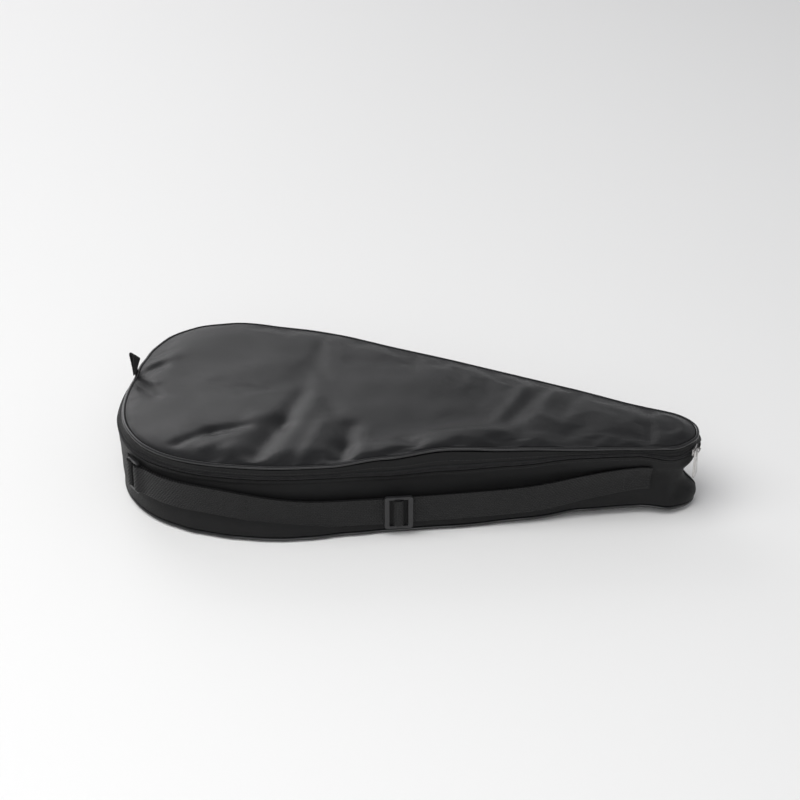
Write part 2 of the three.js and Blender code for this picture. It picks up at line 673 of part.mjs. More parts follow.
// The tab hangs from the bridge's leg on the strap side. Its plane faces outwards.
const tabShape = new THREE.Shape();
const tabBottom = -TAB_LENGTH + TAB_TOP_RADIUS;
const tabSide = TAB_BOTTOM_WIDTH / 2;
const TAB_CORNER = 3.4;
tabShape.absarc(0, 0, TAB_TOP_RADIUS, 0, Math.PI);
tabShape.lineTo(-tabSide, tabBottom + TAB_CORNER);
tabShape.quadraticCurveTo(-tabSide + 0.6, tabBottom, 0, tabBottom);
tabShape.quadraticCurveTo(tabSide - 0.6, tabBottom, tabSide, tabBottom + TAB_CORNER);
const TAB_HOLE_RADIUS = 1.8;
const TAB_HOLE_REACH = 2.6;
const tabHole = new THREE.Path();
tabHole.absarc(0, 0, TAB_HOLE_RADIUS, 0, Math.PI);
tabHole.lineTo(-TAB_HOLE_RADIUS, -TAB_HOLE_REACH);
tabHole.absarc(0, -TAB_HOLE_REACH, TAB_HOLE_RADIUS, Math.PI, 2 * Math.PI);
tabShape.holes.push(tabHole);
const tabAxes = new THREE.Matrix4().makeBasis(
  new THREE.Vector3(0, 1, 0),
  new THREE.Vector3(0, 0, 1),
  new THREE.Vector3(1, 0, 0),
);
addPiece("pull_tab", "nickel", plate(tabShape, TAB_THICKNESS),
  lifted(sliderFrame, bridgeBase + 0.5, -BRIDGE_SPAN / 2, ZIP_Z).multiply(tabAxes));

group.position.set(ORIGIN_SHIFT[0], ORIGIN_SHIFT[1], 0);

export default group;
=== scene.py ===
# Paddle case: a soft teardrop case for a padel racket, closed, lying on its back panel on a pale table.
import math

import bpy
import numpy as np
from mathutils import Matrix, Vector, noise


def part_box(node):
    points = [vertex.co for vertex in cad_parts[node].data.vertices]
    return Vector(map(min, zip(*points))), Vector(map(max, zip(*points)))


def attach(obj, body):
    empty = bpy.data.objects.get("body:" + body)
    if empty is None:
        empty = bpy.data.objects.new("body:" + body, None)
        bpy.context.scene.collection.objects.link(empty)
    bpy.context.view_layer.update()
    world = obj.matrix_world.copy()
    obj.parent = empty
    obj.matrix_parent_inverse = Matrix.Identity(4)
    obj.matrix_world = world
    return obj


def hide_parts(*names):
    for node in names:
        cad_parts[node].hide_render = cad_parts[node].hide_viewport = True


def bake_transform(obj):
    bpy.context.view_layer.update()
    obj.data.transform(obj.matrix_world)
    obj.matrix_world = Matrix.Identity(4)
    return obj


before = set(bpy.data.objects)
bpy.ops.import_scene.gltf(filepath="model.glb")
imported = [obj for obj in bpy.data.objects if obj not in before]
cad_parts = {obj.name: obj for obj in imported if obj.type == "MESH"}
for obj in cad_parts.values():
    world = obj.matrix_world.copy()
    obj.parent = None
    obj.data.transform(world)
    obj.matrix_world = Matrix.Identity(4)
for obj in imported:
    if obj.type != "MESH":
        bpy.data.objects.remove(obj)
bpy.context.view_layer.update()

# ==== Table, studio light and camera ====
# A plain pale table. A soft light behind the head of the case gives the coated top its sheen, which fades
# towards the narrow end. A wide light overhead and a fill in front light the table and soften the shadows.

MM = 0.001


def deselect_all():
    if bpy.context.object and bpy.context.object.mode == "EDIT":
        bpy.ops.object.mode_set(mode="OBJECT")
    bpy.ops.object.select_all(action="DESELECT")


def soft_light(name, place, aim, size, power, colour):
    bpy.ops.object.light_add(type="AREA", location=place)
    light = bpy.context.object
    light.name = name
    light.data.shape = "RECTANGLE"
    light.data.size, light.data.size_y = size
    light.data.energy = power
    light.data.color = colour
    light.rotation_euler = (Vector(aim) - Vector(place)).to_track_quat("-Z", "Y").to_euler()
    return light


deselect_all()
bpy.ops.mesh.primitive_plane_add(size=14, location=(0, 1.5, 0))
table = bpy.context.object
table.name = "table_top"
table_finish = bpy.data.materials.new("pale table")
table_finish.use_nodes = True
table_nodes, table_links = table_finish.node_tree.nodes, table_finish.node_tree.links
table_paint = table_nodes["Principled BSDF"]
table_paint.inputs["Roughness"].default_value = 0.62
table_place = table_nodes.new("ShaderNodeTexCoord")
table_cloud = table_nodes.new("ShaderNodeTexNoise")
table_cloud.inputs["Scale"].default_value = 0.8
table_tone = table_nodes.new("ShaderNodeValToRGB")
table_tone.color_ramp.elements[0].color = (0.835, 0.832, 0.828, 1)
table_tone.color_ramp.elements[1].color = (0.865, 0.863, 0.862, 1)
table_links.new(table_place.outputs["Object"], table_cloud.inputs["Vector"])
table_links.new(table_cloud.outputs["Fac"], table_tone.inputs["Fac"])
table_links.new(table_tone.outputs["Color"], table_paint.inputs["Base Color"])
table.data.materials.append(table_finish)

soft_light("head_softbox", (-1.5, 1.9, 1.2), (-0.1, 0.0, 0.05), (1.5, 1.3), 12, (1.0, 0.99, 1.0))
overhead = soft_light("overhead_softbox", (-1.0, -0.9, 2.3), (0.0, 0.1, 0.0), (2.6, 2.2), 60,
                      (1.0, 1.0, 0.99))
overhead.visible_glossy = False
soft_light("front_fill", (0.4, -2.8, 1.5), (0.0, 0.2, 0.0), (2.2, 1.4), 18, (0.99, 0.99, 1.0))

room = bpy.data.worlds.new("pale studio")
bpy.context.scene.world = room
room.use_nodes = True
# The room is light at the level of the table and dim towards the ceiling.
room_nodes, room_links = room.node_tree.nodes, room.node_tree.links
room_place = room_nodes.new("ShaderNodeTexCoord")
room_split = room_nodes.new("ShaderNodeSeparateXYZ")
room_tone = room_nodes.new("ShaderNodeValToRGB")
room_tone.color_ramp.elements[0].position = 0.35
room_tone.color_ramp.elements[0].color = (0.86, 0.865, 0.88, 1)
room_tone.color_ramp.elements[1].position = 0.75
room_tone.color_ramp.elements[1].color = (0.50, 0.505, 0.52, 1)
room_links.new(room_place.outputs["Object"], room_split.inputs[0])
room_links.new(room_split.outputs["Z"], room_tone.inputs["Fac"])
room_links.new(room_tone.outputs["Color"], room_nodes["Background"].inputs["Color"])
room_nodes["Background"].inputs["Strength"].default_value = 0.56

CAMERA_PLACE = (0.2824, -1.5262, 0.973)
CAMERA_AIM = (-0.0276, 0.1303, 0.0)
bpy.ops.object.camera_add(location=CAMERA_PLACE)
camera = bpy.context.object
camera.data.sensor_width = 36
camera.data.angle = math.radians(22)
camera.rotation_euler = (Vector(CAMERA_AIM) - Vector(CAMERA_PLACE)).to_track_quat("-Z", "Y").to_euler()
bpy.context.scene.camera = camera
bpy.context.scene.view_settings.view_transform = "Standard"

# ==== Back panel ====
# Cut from plain black woven nylon to the teardrop outline and sewn into the back piping. The outline, the
# way the filled case has settled, and the woven finish are set here and serve every later piece.

HEAD_X = -250.0
SHIFT = np.array([4.5, 1.0])
TAPER = np.array([0.961799, 0.273758])
TIP_X, TIP_RADIUS = 217.0, 33.0


def bezier(corners, steps):
    t = np.linspace(0, 1, steps, endpoint=False)[:, None]
    a, b, c, d = (np.array(corner, float) for corner in corners)
    return (1 - t) ** 3 * a + 3 * (1 - t) ** 2 * t * b + 3 * (1 - t) * t * t * c + t ** 3 * d


def half_outline():
    """The strap side's edge in plan: head, shoulder, straight taper and round narrow end."""
    taper_start = np.array([-70.0, -116.0])
    tip_start = np.array([TIP_X + TIP_RADIUS * TAPER[1], -TIP_RADIUS * TAPER[0]])
    head = bezier([(HEAD_X, 0), (HEAD_X, -90), (-205, -125), (-145, -125)], 120)
    shoulder = bezier([(-145, -125), (-120, -125), taper_start - 25 * TAPER, taper_start], 40)
    side = taper_start + (tip_start - taper_start) * np.linspace(0, 1, 60, endpoint=False)[:, None]
    turn = np.linspace(-math.acos(TAPER[1]), 0, 60)[:, None]
    tip = np.hstack([TIP_X + TIP_RADIUS * np.cos(turn), TIP_RADIUS * np.sin(turn)])
    return np.vstack([head, shoulder, side, tip])


near_half = half_outline()
outline = np.vstack([near_half, near_half[-2::-1] * [1, -1]])
steps_along = np.r_[0, np.cumsum(np.linalg.norm(np.diff(outline, axis=0), axis=1))]
PERIMETER = 1224.12
steps_along *= PERIMETER / steps_along[-1]


def outline_at(distance):
    """Plan points of the case's edge, at distances along it from the head apex, the strap side first."""
    rest = np.mod(distance, PERIMETER)
    return np.stack([np.interp(rest, steps_along, outline[:, axis]) for axis in (0, 1)], -1)


def inward_at(distance):
    along = outline_at(distance + 2.0) - outline_at(distance - 2.0)
    along /= np.linalg.norm(along, axis=-1, keepdims=True)
    return np.stack([-along[..., 1], along[..., 0]], -1)


def eased(value, keys):
    """Runs smoothly through (place, amount) keys and stays level beyond them."""
    places, amounts = (np.array(column, float) for column in zip(*keys))
    index = np.clip(np.searchsorted(places, value) - 1, 0, len(places) - 2)
    part = np.clip((value - places[index]) / (places[index + 1] - places[index]), 0, 1)
    return amounts[index] + (amounts[index + 1] - amounts[index]) * part * part * (3 - 2 * part)


# How far the filled case has settled, in millimetres, as (distance along the edge, amount). Inwards and
# upwards.
TOP_IN = (
    (0, -1.8), (45, -1.8), (110, -0.8), (160, 0), (285, 0), (332, 3.5), (383, 8), (443, 5.5), (511, 4),
    (560, 2.5), (590, 0.4), (612, -2.6), (624, -3), (650, -1.5), (690, 0), (750, -2), (860, -2), (930, 0),
    (1030, 0), (1086, -4.5), (1115, -8), (1140, -9), (1166, -7.5), (1190, -5), (PERIMETER, -1.8))
TOP_UP = (
    (285, 0), (332, 3.2), (386, 6.6), (443, 4.6), (511, 1.5), (575, 0), (1030, 0), (1090, 1.6), (1140, 2.2),
    (1190, 1.0), (1220, 0))
ZIP_IN = (
    (0, -6.8), (40, -6.2), (85, -3.6), (150, 0), (598, 0), (620, -4.2), (650, -2.5), (690, 0), (1140, 0),
    (1190, -3.5), (PERIMETER, -6.8))
ZIP_UP = ((285, 0), (338, -2), (388, -2), (443, 1), (497, 5.6), (546, 5.6), (578, 0))
UNDER_ZIP_IN = (
    (0, -5), (45, -4), (88, -1.2), (130, 1.4), (260, 2.4), (520, 2.0), (570, 0.6), (600, -0.6), (640, -0.6),
    (700, 0), (1080, 0), (1190, -3.5), (PERIMETER, -5))
WAIST_IN = (
    (0, -7), (35, -6.4), (84, -1.4), (100, 0), (150, 1.2), (300, 2.6), (470, 3.4), (545, 4), (592, 7),
    (616, 9), (650, 7), (720, 2.5), (850, 3.2), (1000, 1.2), (1080, 0), (1140, -2), (1190, -5),
    (PERIMETER, -7))
BELLY_IN = ((580, 0), (616, -6), (640, -4), (670, 0))
FOOT_IN = (
    (0, -4.5), (60, -3), (110, -1.5), (144, -2), (173, -4), (205, -6.5), (245, -7.5), (268, -6.5), (302, -3),
    (340, -0.5), (384, 0.5), (447, 3.6), (501, 8.6), (550, 10), (585, 4), (616, -1), (650, -1), (690, 0),
    (1030, 0), (1100, -5), (1150, -5), (PERIMETER, -4.5))
FOOT_UP = ((400, 0), (465, 2), (501, 4.8), (550, 5.2), (612, 2.0), (680, 0))
LEVELS = (0.0, 34.0, 50.0, 58.0, 69.0)      # heights of the foot, waist, under the zip, zip and top
BELLY_AT, BELLY_RISE = 13.0, 9.0            # the belly below the waist
SETTLED_DEPTH = 75.0                        # how far in from the edge the settling fades out


def settled(distance, depth, z):
    """How far points have moved inwards and upwards, by distance along the edge, depth in and height."""
    rest = np.mod(distance, PERIMETER)
    top_in, zip_in, under_in, waist_in, belly_in, foot_in = (
        eased(rest, keys) for keys in (TOP_IN, ZIP_IN, UNDER_ZIP_IN, WAIST_IN, BELLY_IN, FOOT_IN))
    top_up, zip_up, foot_up = (eased(rest, keys) for keys in (TOP_UP, ZIP_UP, FOOT_UP))
    columns_in = [foot_in, waist_in + 0.3 * top_in + 0.45 * np.maximum(foot_in, 0),
                  under_in + 0.6 * top_in + 0.2 * waist_in, zip_in + 0.8 * top_in, top_in]
    columns_up = [foot_up, 0.45 * foot_up + 0.3 * zip_up, 0.8 * zip_up, zip_up, top_up]
    moved_in, moved_up = columns_in[0] + 0 * z, columns_up[0] + 0 * z
    for level in range(1, len(LEVELS)):
        low, high = LEVELS[level - 1], LEVELS[level]
        part = np.clip((z - low) / (high - low), 0, 1)
        part = part * part * (3 - 2 * part)
        moved_in = moved_in + (columns_in[level] - columns_in[level - 1]) * part
        moved_up = moved_up + (columns_up[level] - columns_up[level - 1]) * part
    moved_in = moved_in + belly_in * np.exp(-((z - BELLY_AT) / BELLY_RISE) ** 2)
    fade = np.clip(1 - depth / SETTLED_DEPTH, 0, 1)
    fade = fade * fade * (3 - 2 * fade)
    return moved_in * fade, moved_up * fade


def crumple(points, size, amount, seed):
    """Soft uneven lengths, the same each run, for points in millimetres."""
    shift = Vector((seed, 0, 0))
    return np.array([noise.noise(Vector(point) / size + shift) for point in points]) * amount


def wall_place(distance, depth, z, shift_in=0.0):
    """Points in metres by distance along the edge, depth in from it and height, settled with the case."""
    places = (np.asarray(value, float) for value in (distance, depth, z))
    distance, depth, z = np.broadcast_arrays(*places)
    moved_in, moved_up = settled(distance, depth, z)
    plan = outline_at(distance) + inward_at(distance) * (depth + moved_in + shift_in)[..., None] + SHIFT
    return np.concatenate([plan, (z + moved_up)[..., None]], -1) * MM


def sheet_mesh(name, columns, rows, place, pattern):
    """A flat grid is added and its points are set down by place(along, across), both from 0 to 1.
    pattern gives the cloth's own coordinates in metres, along and across its threads."""
    deselect_all()
    bpy.ops.mesh.primitive_grid_add(x_subdivisions=columns, y_subdivisions=rows, size=1)
    piece = bpy.context.object
    piece.name = piece.data.name = name
    flat = np.zeros(len(piece.data.vertices) * 3)
    piece.data.vertices.foreach_get("co", flat)
    flat = flat.reshape(-1, 3) + 0.5
    placed = place(flat[:, 0], flat[:, 1])
    cloth = pattern(flat[:, 0], flat[:, 1])
    piece.data.vertices.foreach_set("co", np.asarray(placed, float).ravel())
    corners = np.zeros(len(piece.data.loops), int)
    piece.data.loops.foreach_get("vertex_index", corners)
    piece.data.uv_layers.active.data.foreach_set("uv", np.stack(cloth, -1)[corners].ravel())
    piece.data.update()
    return piece


def select_only(piece):
    deselect_all()
    piece.select_set(True)
    bpy.context.view_layer.objects.active = piece


def edit_all(piece, *steps):
    """Runs mesh operators, each with its settings, on the whole of a piece."""
    select_only(piece)
    bpy.ops.object.mode_set(mode="EDIT")
    bpy.ops.mesh.select_all(action="SELECT")
    for operator, settings in steps:
        operator(**settings)
    bpy.ops.object.mode_set(mode="OBJECT")


OUTWARDS = (bpy.ops.mesh.normals_make_consistent, {"inside": False})


def merge_doubles(piece, distance=0.00002):
    edit_all(piece, (bpy.ops.mesh.remove_doubles, {"threshold": distance}))


def finish_with(piece, kind, **settings):
    """Adds a modifier with these settings and applies it."""
    select_only(piece)
    modifier = piece.modifiers.new(kind.lower(), kind)
    for setting, value in settings.items():
        setattr(modifier, setting, value)
    bpy.ops.object.modifier_apply(modifier=modifier.name)


def round_edges(piece, width, angle=50, segments=2):
    finish_with(piece, "BEVEL", width=width * MM, segments=segments, limit_method="ANGLE",
                angle_limit=math.radians(angle))


def smooth_shading(piece, angle):
    select_only(piece)
    bpy.ops.object.shade_smooth_by_angle(angle=math.radians(angle))


def thicken(piece, thickness, offset=-1.0, bevel=0.0, shading=40):
    """Makes a sheet solid and rounds its edges over where it has a bevel. At offset -1 its face stays put."""
    finish_with(piece, "SOLIDIFY", thickness=thickness * MM, offset=offset, use_even_offset=False)
    if bevel:
        round_edges(piece, bevel)
    smooth_shading(piece, shading)


def spine_at(edge_x):
    """The middle line that a panel's threads of mesh run to, from the edge point at edge_x."""
    return -140 + 354 * (edge_x - HEAD_X) / 500


def panel_place(edge_depth, height_at):
    """Places a panel's grid: along its edge, and across from the edge to the middle line."""
    def place(along, across):
        distance = (along - 0.5) * PERIMETER
        start = outline_at(distance) + inward_at(distance) * edge_depth
        # The mesh is finer near the seam than in the middle.
        share = 0.35 * across + 0.65 * across ** 1.5
        middle = np.stack([spine_at(outline_at(distance)[:, 0]), 0 * distance], -1)
        plan = start + (middle - start) * share[:, None]
        depth = np.linalg.norm(plan - start, axis=1) * 0.93 + edge_depth
        z = height_at(plan + SHIFT, depth)
        moved_in, moved_up = settled(distance, depth - edge_depth, z)
        # Both sides meet on the middle line, so neither moves there.
        loose = 1 - share ** 3
        plan = plan + inward_at(distance) * (moved_in * loose)[:, None] + SHIFT
        return np.concatenate([plan, (z + moved_up * loose)[:, None]], -1) * MM
    return place


def panel_mesh(name, edge_depth, height_at, columns, rows):
    place = panel_place(edge_depth, height_at)
    piece = sheet_mesh(name, columns, rows, place, lambda along, across: place(along, across)[:, :2].T)
    merge_doubles(piece)
    return piece


def link(tree, source, target):
    tree.links.new(source, target)


def node_group(name, inputs, outputs):
    """A shader node group with named inputs of (kind, value) and float outputs."""
    group = bpy.data.node_groups.new(name, "ShaderNodeTree")
    for socket_name, (kind, value) in inputs.items():
        socket = group.interface.new_socket(socket_name, in_out="INPUT", socket_type=kind)
        if value is not None:
            socket.default_value = value
    for socket_name in outputs:
        group.interface.new_socket(socket_name, in_out="OUTPUT", socket_type="NodeSocketFloat")
    return group, group.nodes.new("NodeGroupInput"), group.nodes.new("NodeGroupOutput")


def sum_node(tree, operation, first, second=None, clamp=False):
    """A Math node. Each of its inputs is a socket or a number."""
    node = tree.nodes.new("ShaderNodeMath")
    node.operation = operation
    node.use_clamp = clamp
    for slot, value in enumerate((first, second)):
        if isinstance(value, (int, float)):
            node.inputs[slot].default_value = value
        elif value is not None:
            link(tree, value, node.inputs[slot])
    return node.outputs[0]


def noise_node(tree, vector, scale, detail):
    node = tree.nodes.new("ShaderNodeTexNoise")
    node.inputs["Detail"].default_value = detail
    node.inputs["Roughness"].default_value = 0.55
    link(tree, vector, node.inputs["Vector"])
    if isinstance(scale, (int, float)):
        node.inputs["Scale"].default_value = scale
    else:
        link(tree, scale, node.inputs["Scale"])
    return node.outputs["Fac"]


def build_weave():
    """Plain weave: threads along and across cover each other in turn. Pitches are in metres."""
    tree, given, made = node_group("woven threads", {
        "Surface": ("NodeSocketVector", None),
        "Pitch along": ("NodeSocketFloat", 0.0006),
        "Pitch across": ("NodeSocketFloat", 0.0006),
        "Slub": ("NodeSocketFloat", 0.2),
    }, ["Height", "Gap"])
    split = tree.nodes.new("ShaderNodeSeparateXYZ")
    link(tree, given.outputs["Surface"], split.inputs[0])
    wander = noise_node(tree, given.outputs["Surface"], 90.0, 2.0)
    wander = sum_node(tree, "MULTIPLY", sum_node(tree, "SUBTRACT", wander, 0.5), given.outputs["Slub"])
    counts = []
    for axis, pitch in (("X", "Pitch along"), ("Y", "Pitch across")):
        count = sum_node(tree, "DIVIDE", split.outputs[axis], given.outputs[pitch])
        counts.append(sum_node(tree, "ADD", count, wander))
    rounds = []
    for count in counts:
        half_turn = sum_node(tree, "MULTIPLY", count, math.pi)
        rounds.append(sum_node(tree, "ABSOLUTE", sum_node(tree, "SINE", half_turn)))
    turn = sum_node(tree, "ADD", *[sum_node(tree, "FLOOR", count) for count in counts])
    turn = sum_node(tree, "FLOORED_MODULO", turn, 2.0)
    over = sum_node(tree, "MULTIPLY", rounds[0], turn)
    under = sum_node(tree, "MULTIPLY", rounds[1], sum_node(tree, "SUBTRACT", 1.0, turn))
    height = sum_node(tree, "ADD", over, under)
    # The mask for painted shade: highest where the threads dip between each other.
    gap = sum_node(tree, "SUBTRACT", 1.0, height, clamp=True)
    link(tree, height, made.inputs["Height"])
    link(tree, gap, made.inputs["Gap"])
    return tree


def build_tone():
    """Uneven tone: broad patches from handling with fine specks over them."""
    tree, given, made = node_group("uneven tone", {
        "Surface": ("NodeSocketVector", None),
        "Patches": ("NodeSocketFloat", 14.0),
        "Specks": ("NodeSocketFloat", 900.0),
    }, ["Tone", "Lint"])
    broad = noise_node(tree, given.outputs["Surface"], given.outputs["Patches"], 4.0)
    fine = noise_node(tree, given.outputs["Surface"], given.outputs["Specks"], 2.0)
    tone = sum_node(tree, "ADD", sum_node(tree, "MULTIPLY", broad, 0.75),
                    sum_node(tree, "MULTIPLY", fine, 0.25))
    lint = sum_node(tree, "MULTIPLY", sum_node(tree, "SUBTRACT", fine, 0.69), 9.0, clamp=True)
    link(tree, tone, made.inputs["Tone"])
    link(tree, lint, made.inputs["Lint"])
    return tree


WEAVE, TONE = build_weave(), build_tone()


def place_group(tree, group, surface, **values):
    node = tree.nodes.new("ShaderNodeGroup")
    node.node_tree = group
    link(tree, surface, node.inputs["Surface"])
    for socket_name, value in values.items():
        node.inputs[socket_name.replace("_", " ").capitalize()].default_value = value
    return node


def mixed_colour(tree, mask, low, high):
    node = tree.nodes.new("ShaderNodeMix")
    node.data_type = "RGBA"
    node.clamp_factor = True
    link(tree, mask, node.inputs["Factor"])
    for socket, value in ((node.inputs[6], low), (node.inputs[7], high)):
        if isinstance(value, tuple):
            socket.default_value = (*value, 1)
        else:
            link(tree, value, socket)
    return node.outputs[2]


def new_finish(name):
    """A new material, its node tree and its Principled BSDF."""
    material = bpy.data.materials.new(name)
    material.use_nodes = True
    return material, material.node_tree, material.node_tree.nodes["Principled BSDF"]


def roughness_by(tree, value, low, high, rough):
    """Roughness that runs over rough while value runs from low to high."""
    node = tree.nodes.new("ShaderNodeMapRange")
    for socket_name, amount in zip(("From Min", "From Max", "To Min", "To Max"), (low, high, *rough)):
        node.inputs[socket_name].default_value = amount
    link(tree, value, node.inputs["Value"])
    return node.outputs["Result"]


def raised_by(tree, height, relief, strength):
    """The normal over a relief in millimetres."""
    node = tree.nodes.new("ShaderNodeBump")
    node.inputs["Distance"].default_value = relief * MM
    node.inputs["Strength"].default_value = strength
    link(tree, height, node.inputs["Height"])
    return node.outputs["Normal"]


def cloth_finish(name, dark, light, rough, pitch, relief, patches=14.0, slub=0.2, sheen=0.0, specular=0.5,
                 lint=(0.1, 0.1, 0.1), gap_shade=0.55):
    """A woven cloth: thread relief, painted shade between the threads, uneven tone and a little lint."""
    material, tree, paint = new_finish(name)
    cloth = tree.nodes.new("ShaderNodeUVMap")
    cloth.uv_map = "UVMap"
    surface = cloth.outputs["UV"]
    weave = place_group(tree, WEAVE, surface, pitch_along=pitch[0], pitch_across=pitch[1], slub=slub)
    tone = place_group(tree, TONE, surface, patches=patches)
    colour = mixed_colour(tree, tone.outputs["Tone"], dark, light)
    # Painted shade: the colour darkens between the threads, where shade falls.
    shade = sum_node(tree, "MULTIPLY", weave.outputs["Gap"], gap_shade)
    colour = mixed_colour(tree, shade, colour, tuple(0.25 * part for part in dark))
    colour = mixed_colour(tree, sum_node(tree, "MULTIPLY", tone.outputs["Lint"], 0.25), colour, lint)
    link(tree, colour, paint.inputs["Base Color"])
    link(tree, roughness_by(tree, tone.outputs["Tone"], 0.3, 0.7, rough), paint.inputs["Roughness"])
    link(tree, raised_by(tree, weave.outputs["Height"], relief, 0.8), paint.inputs["Normal"])
    paint.inputs["Sheen Weight"].default_value = sheen
    paint.inputs["Sheen Roughness"].default_value = 0.4
    paint.inputs["Specular IOR Level"].default_value = specular
    return material


def dress(piece, material, body, slot, *nodes):
    """Gives a piece its finish, the body it rides on if any and the CAD solids it stands for. The slot is not
    used.
    """
    piece.data.materials.clear()
    piece.data.materials.append(material)
    if body:
        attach(piece, body)
    if nodes:
        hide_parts(*nodes)


woven_nylon = cloth_finish("woven nylon", (0.0034, 0.0034, 0.0037), (0.0074, 0.0074, 0.0077), (0.46, 0.64),
                           (0.00062, 0.00062), 0.16, sheen=0.02, specular=0.28)

PANEL_EDGE = 4.15
CLOTH_THICK = 0.9


def back_height(plan, depth):
    """The panel lies flat at its seam and is a little uneven in its middle."""
    ripple = np.maximum(crumple(np.c_[plan, 0 * depth], 46, 0.5, 3.1), 0)
    return 0.92 + ripple * np.clip(depth / 30, 0, 1)


back_cloth = panel_mesh("back_panel_cloth", PANEL_EDGE, back_height, 360, 24)
thicken(back_cloth, CLOTH_THICK)
dress(back_cloth, woven_nylon, "case_body", "woven_nylon", "back_panel")

# ==== Back piping ====
# A vinyl bead round a cord, sewn into the seam between the back panel and the side wall. The vinyl is
# glossy and a little dented, with a worn shine along its crest.


def ring_section(depth, z, radius, sides):
    turn = np.linspace(0, 2 * math.pi, sides + 1)
    return depth - radius * np.cos(turn), z + radius * np.sin(turn)


def wall_mesh(name, start, end, section, spacing=3.0, shift_in=None):
    """A band along the wall. section is (depths, heights), from the bottom up on the outer side.
    shift_in(distance, z) adds an uneven depth."""
    depths, heights = (np.asarray(part, float) for part in section)
    rows = len(depths) - 1
    columns = max(2, int(round((end - start) / spacing)))
    girth = np.r_[0, np.cumsum(np.hypot(np.diff(depths), np.diff(heights)))]

    def place(along, across):
        distance = start + along * (end - start)
        row = np.rint(across * rows).astype(int)
        extra = shift_in(distance, heights[row]) if shift_in else 0.0
        return wall_place(distance, depths[row], heights[row], extra)

    def pattern(along, across):
        return (start + along * (end - start)) * MM, girth[np.rint(across * rows).astype(int)] * MM

    piece = sheet_mesh(name, columns, rows, place, pattern)
    merge_doubles(piece)
    return piece


def build_worn_edges():
    """Edge wear and grain for moulded, plated and vinyl parts."""
    tree, given, made = node_group("worn edges", {
        "Surface": ("NodeSocketVector", None),
        "Grain": ("NodeSocketFloat", 700.0),
        "Reach": ("NodeSocketFloat", 9.0),
    }, ["Wear", "Grain"])
    shape = tree.nodes.new("ShaderNodeNewGeometry")
    crest = sum_node(tree, "MULTIPLY", sum_node(tree, "SUBTRACT", shape.outputs["Pointiness"], 0.5),
                     given.outputs["Reach"], clamp=True)
    grain = noise_node(tree, given.outputs["Surface"], given.outputs["Grain"], 3.0)
    rubbed = noise_node(tree, given.outputs["Surface"], 120.0, 4.0)
    link(tree, sum_node(tree, "MULTIPLY", crest, rubbed), made.inputs["Wear"])
    link(tree, grain, made.inputs["Grain"])
    return tree


WORN_EDGES = build_worn_edges()


def moulded_finish(name, base, worn, rough, grain=700.0, relief=0.03, reach=9.0, metallic=0.0, specular=0.5):
    """A smooth finish in the piece's own coordinates, with fine grain and rubbed edges."""
    material, tree, paint = new_finish(name)
    surface = tree.nodes.new("ShaderNodeTexCoord").outputs["Object"]
    edges = place_group(tree, WORN_EDGES, surface, grain=grain, reach=reach)
    tone = place_group(tree, TONE, surface, patches=20.0)
    colour = mixed_colour(tree, tone.outputs["Tone"], tuple(0.85 * part for part in base), base)
    colour = mixed_colour(tree, edges.outputs["Wear"], colour, worn)
    link(tree, colour, paint.inputs["Base Color"])
    link(tree, roughness_by(tree, edges.outputs["Grain"], 0.35, 0.65, rough), paint.inputs["Roughness"])
    link(tree, raised_by(tree, edges.outputs["Grain"], relief, 0.6), paint.inputs["Normal"])
    paint.inputs["Metallic"].default_value = metallic
    paint.inputs["Specular IOR Level"].default_value = specular
    return material


piping_vinyl = moulded_finish("piping vinyl", (0.0055, 0.0055, 0.006), (0.03, 0.03, 0.032), (0.15, 0.24),
                              relief=0.04, specular=0.55)
PIPING_DEPTH, PIPING_RADIUS = 2.3, 1.6


def piping_dents(amount, seed):
    def dents(distance, z):
        turn = 2 * math.pi * distance / PERIMETER
        points = np.stack([np.cos(turn) * 190, np.sin(turn) * 190, 0.3 * z], -1)
        return crumple(points, 16, amount, seed)
    return dents


def piping_mesh(name, z, seed, body, node):
    piece = wall_mesh(name, 0, PERIMETER, ring_section(PIPING_DEPTH, z, PIPING_RADIUS, 12), 2.6,
                      piping_dents(0.28, seed))
    edit_all(piece, OUTWARDS)
    smooth_shading(piece, 60)
    dress(piece, piping_vinyl, body, "piping", node)


piping_mesh("back_piping_bead", 2.7, 1.7, "case_body", "back_piping")

# ==== Back padding, lining and seam binding ====
# A 4 mm foam sheet lies on the back panel under a thin smooth lining. Folded tape binds the raw edges of
# the seam inside the case.

foam_finish = moulded_finish("closed cell foam", (0.045, 0.045, 0.047), (0.07, 0.07, 0.07), (0.85, 0.95),
                             grain=1600.0, relief=0.25)
lining_cloth = cloth_finish("smooth lining", (0.011, 0.0115, 0.0125), (0.021, 0.022, 0.0235), (0.42, 0.6),
                            (0.0004, 0.0004), 0.07, sheen=0.08)
tape_cloth = cloth_finish("woven tape", (0.0065, 0.0065, 0.007), (0.014, 0.014, 0.0145), (0.62, 0.8),
                          (0.0009, 0.00045), 0.14, sheen=0.1)


def quilt(plan):
    """The slight unevenness that the foam and its lining share."""
    return crumple(np.c_[plan, 0 * plan[:, 0]], 38, 0.15, 5.0)


PAD_EDGE = 5.1
LINING_THICK = 0.5


def pad_mesh(name, top_at, thickness, rows):
    """A foam sheet cut to the outline, with softly rounded edges."""
    piece = panel_mesh(name, PAD_EDGE, top_at, 240, rows)
    thicken(piece, thickness, bevel=0.9, shading=60)
    return piece


back_foam = pad_mesh("back_foam", lambda plan, depth: 5.25 + quilt(plan), 3.8, 16)
dress(back_foam, foam_finish, "case_body", "foam", "back_padding")

back_inner = panel_mesh("back_lining_cloth", PAD_EDGE, lambda plan, depth: 6.25 + quilt(plan), 300, 26)
thicken(back_inner, LINING_THICK)
dress(back_inner, lining_cloth, "case_body", "lining", "back_lining")


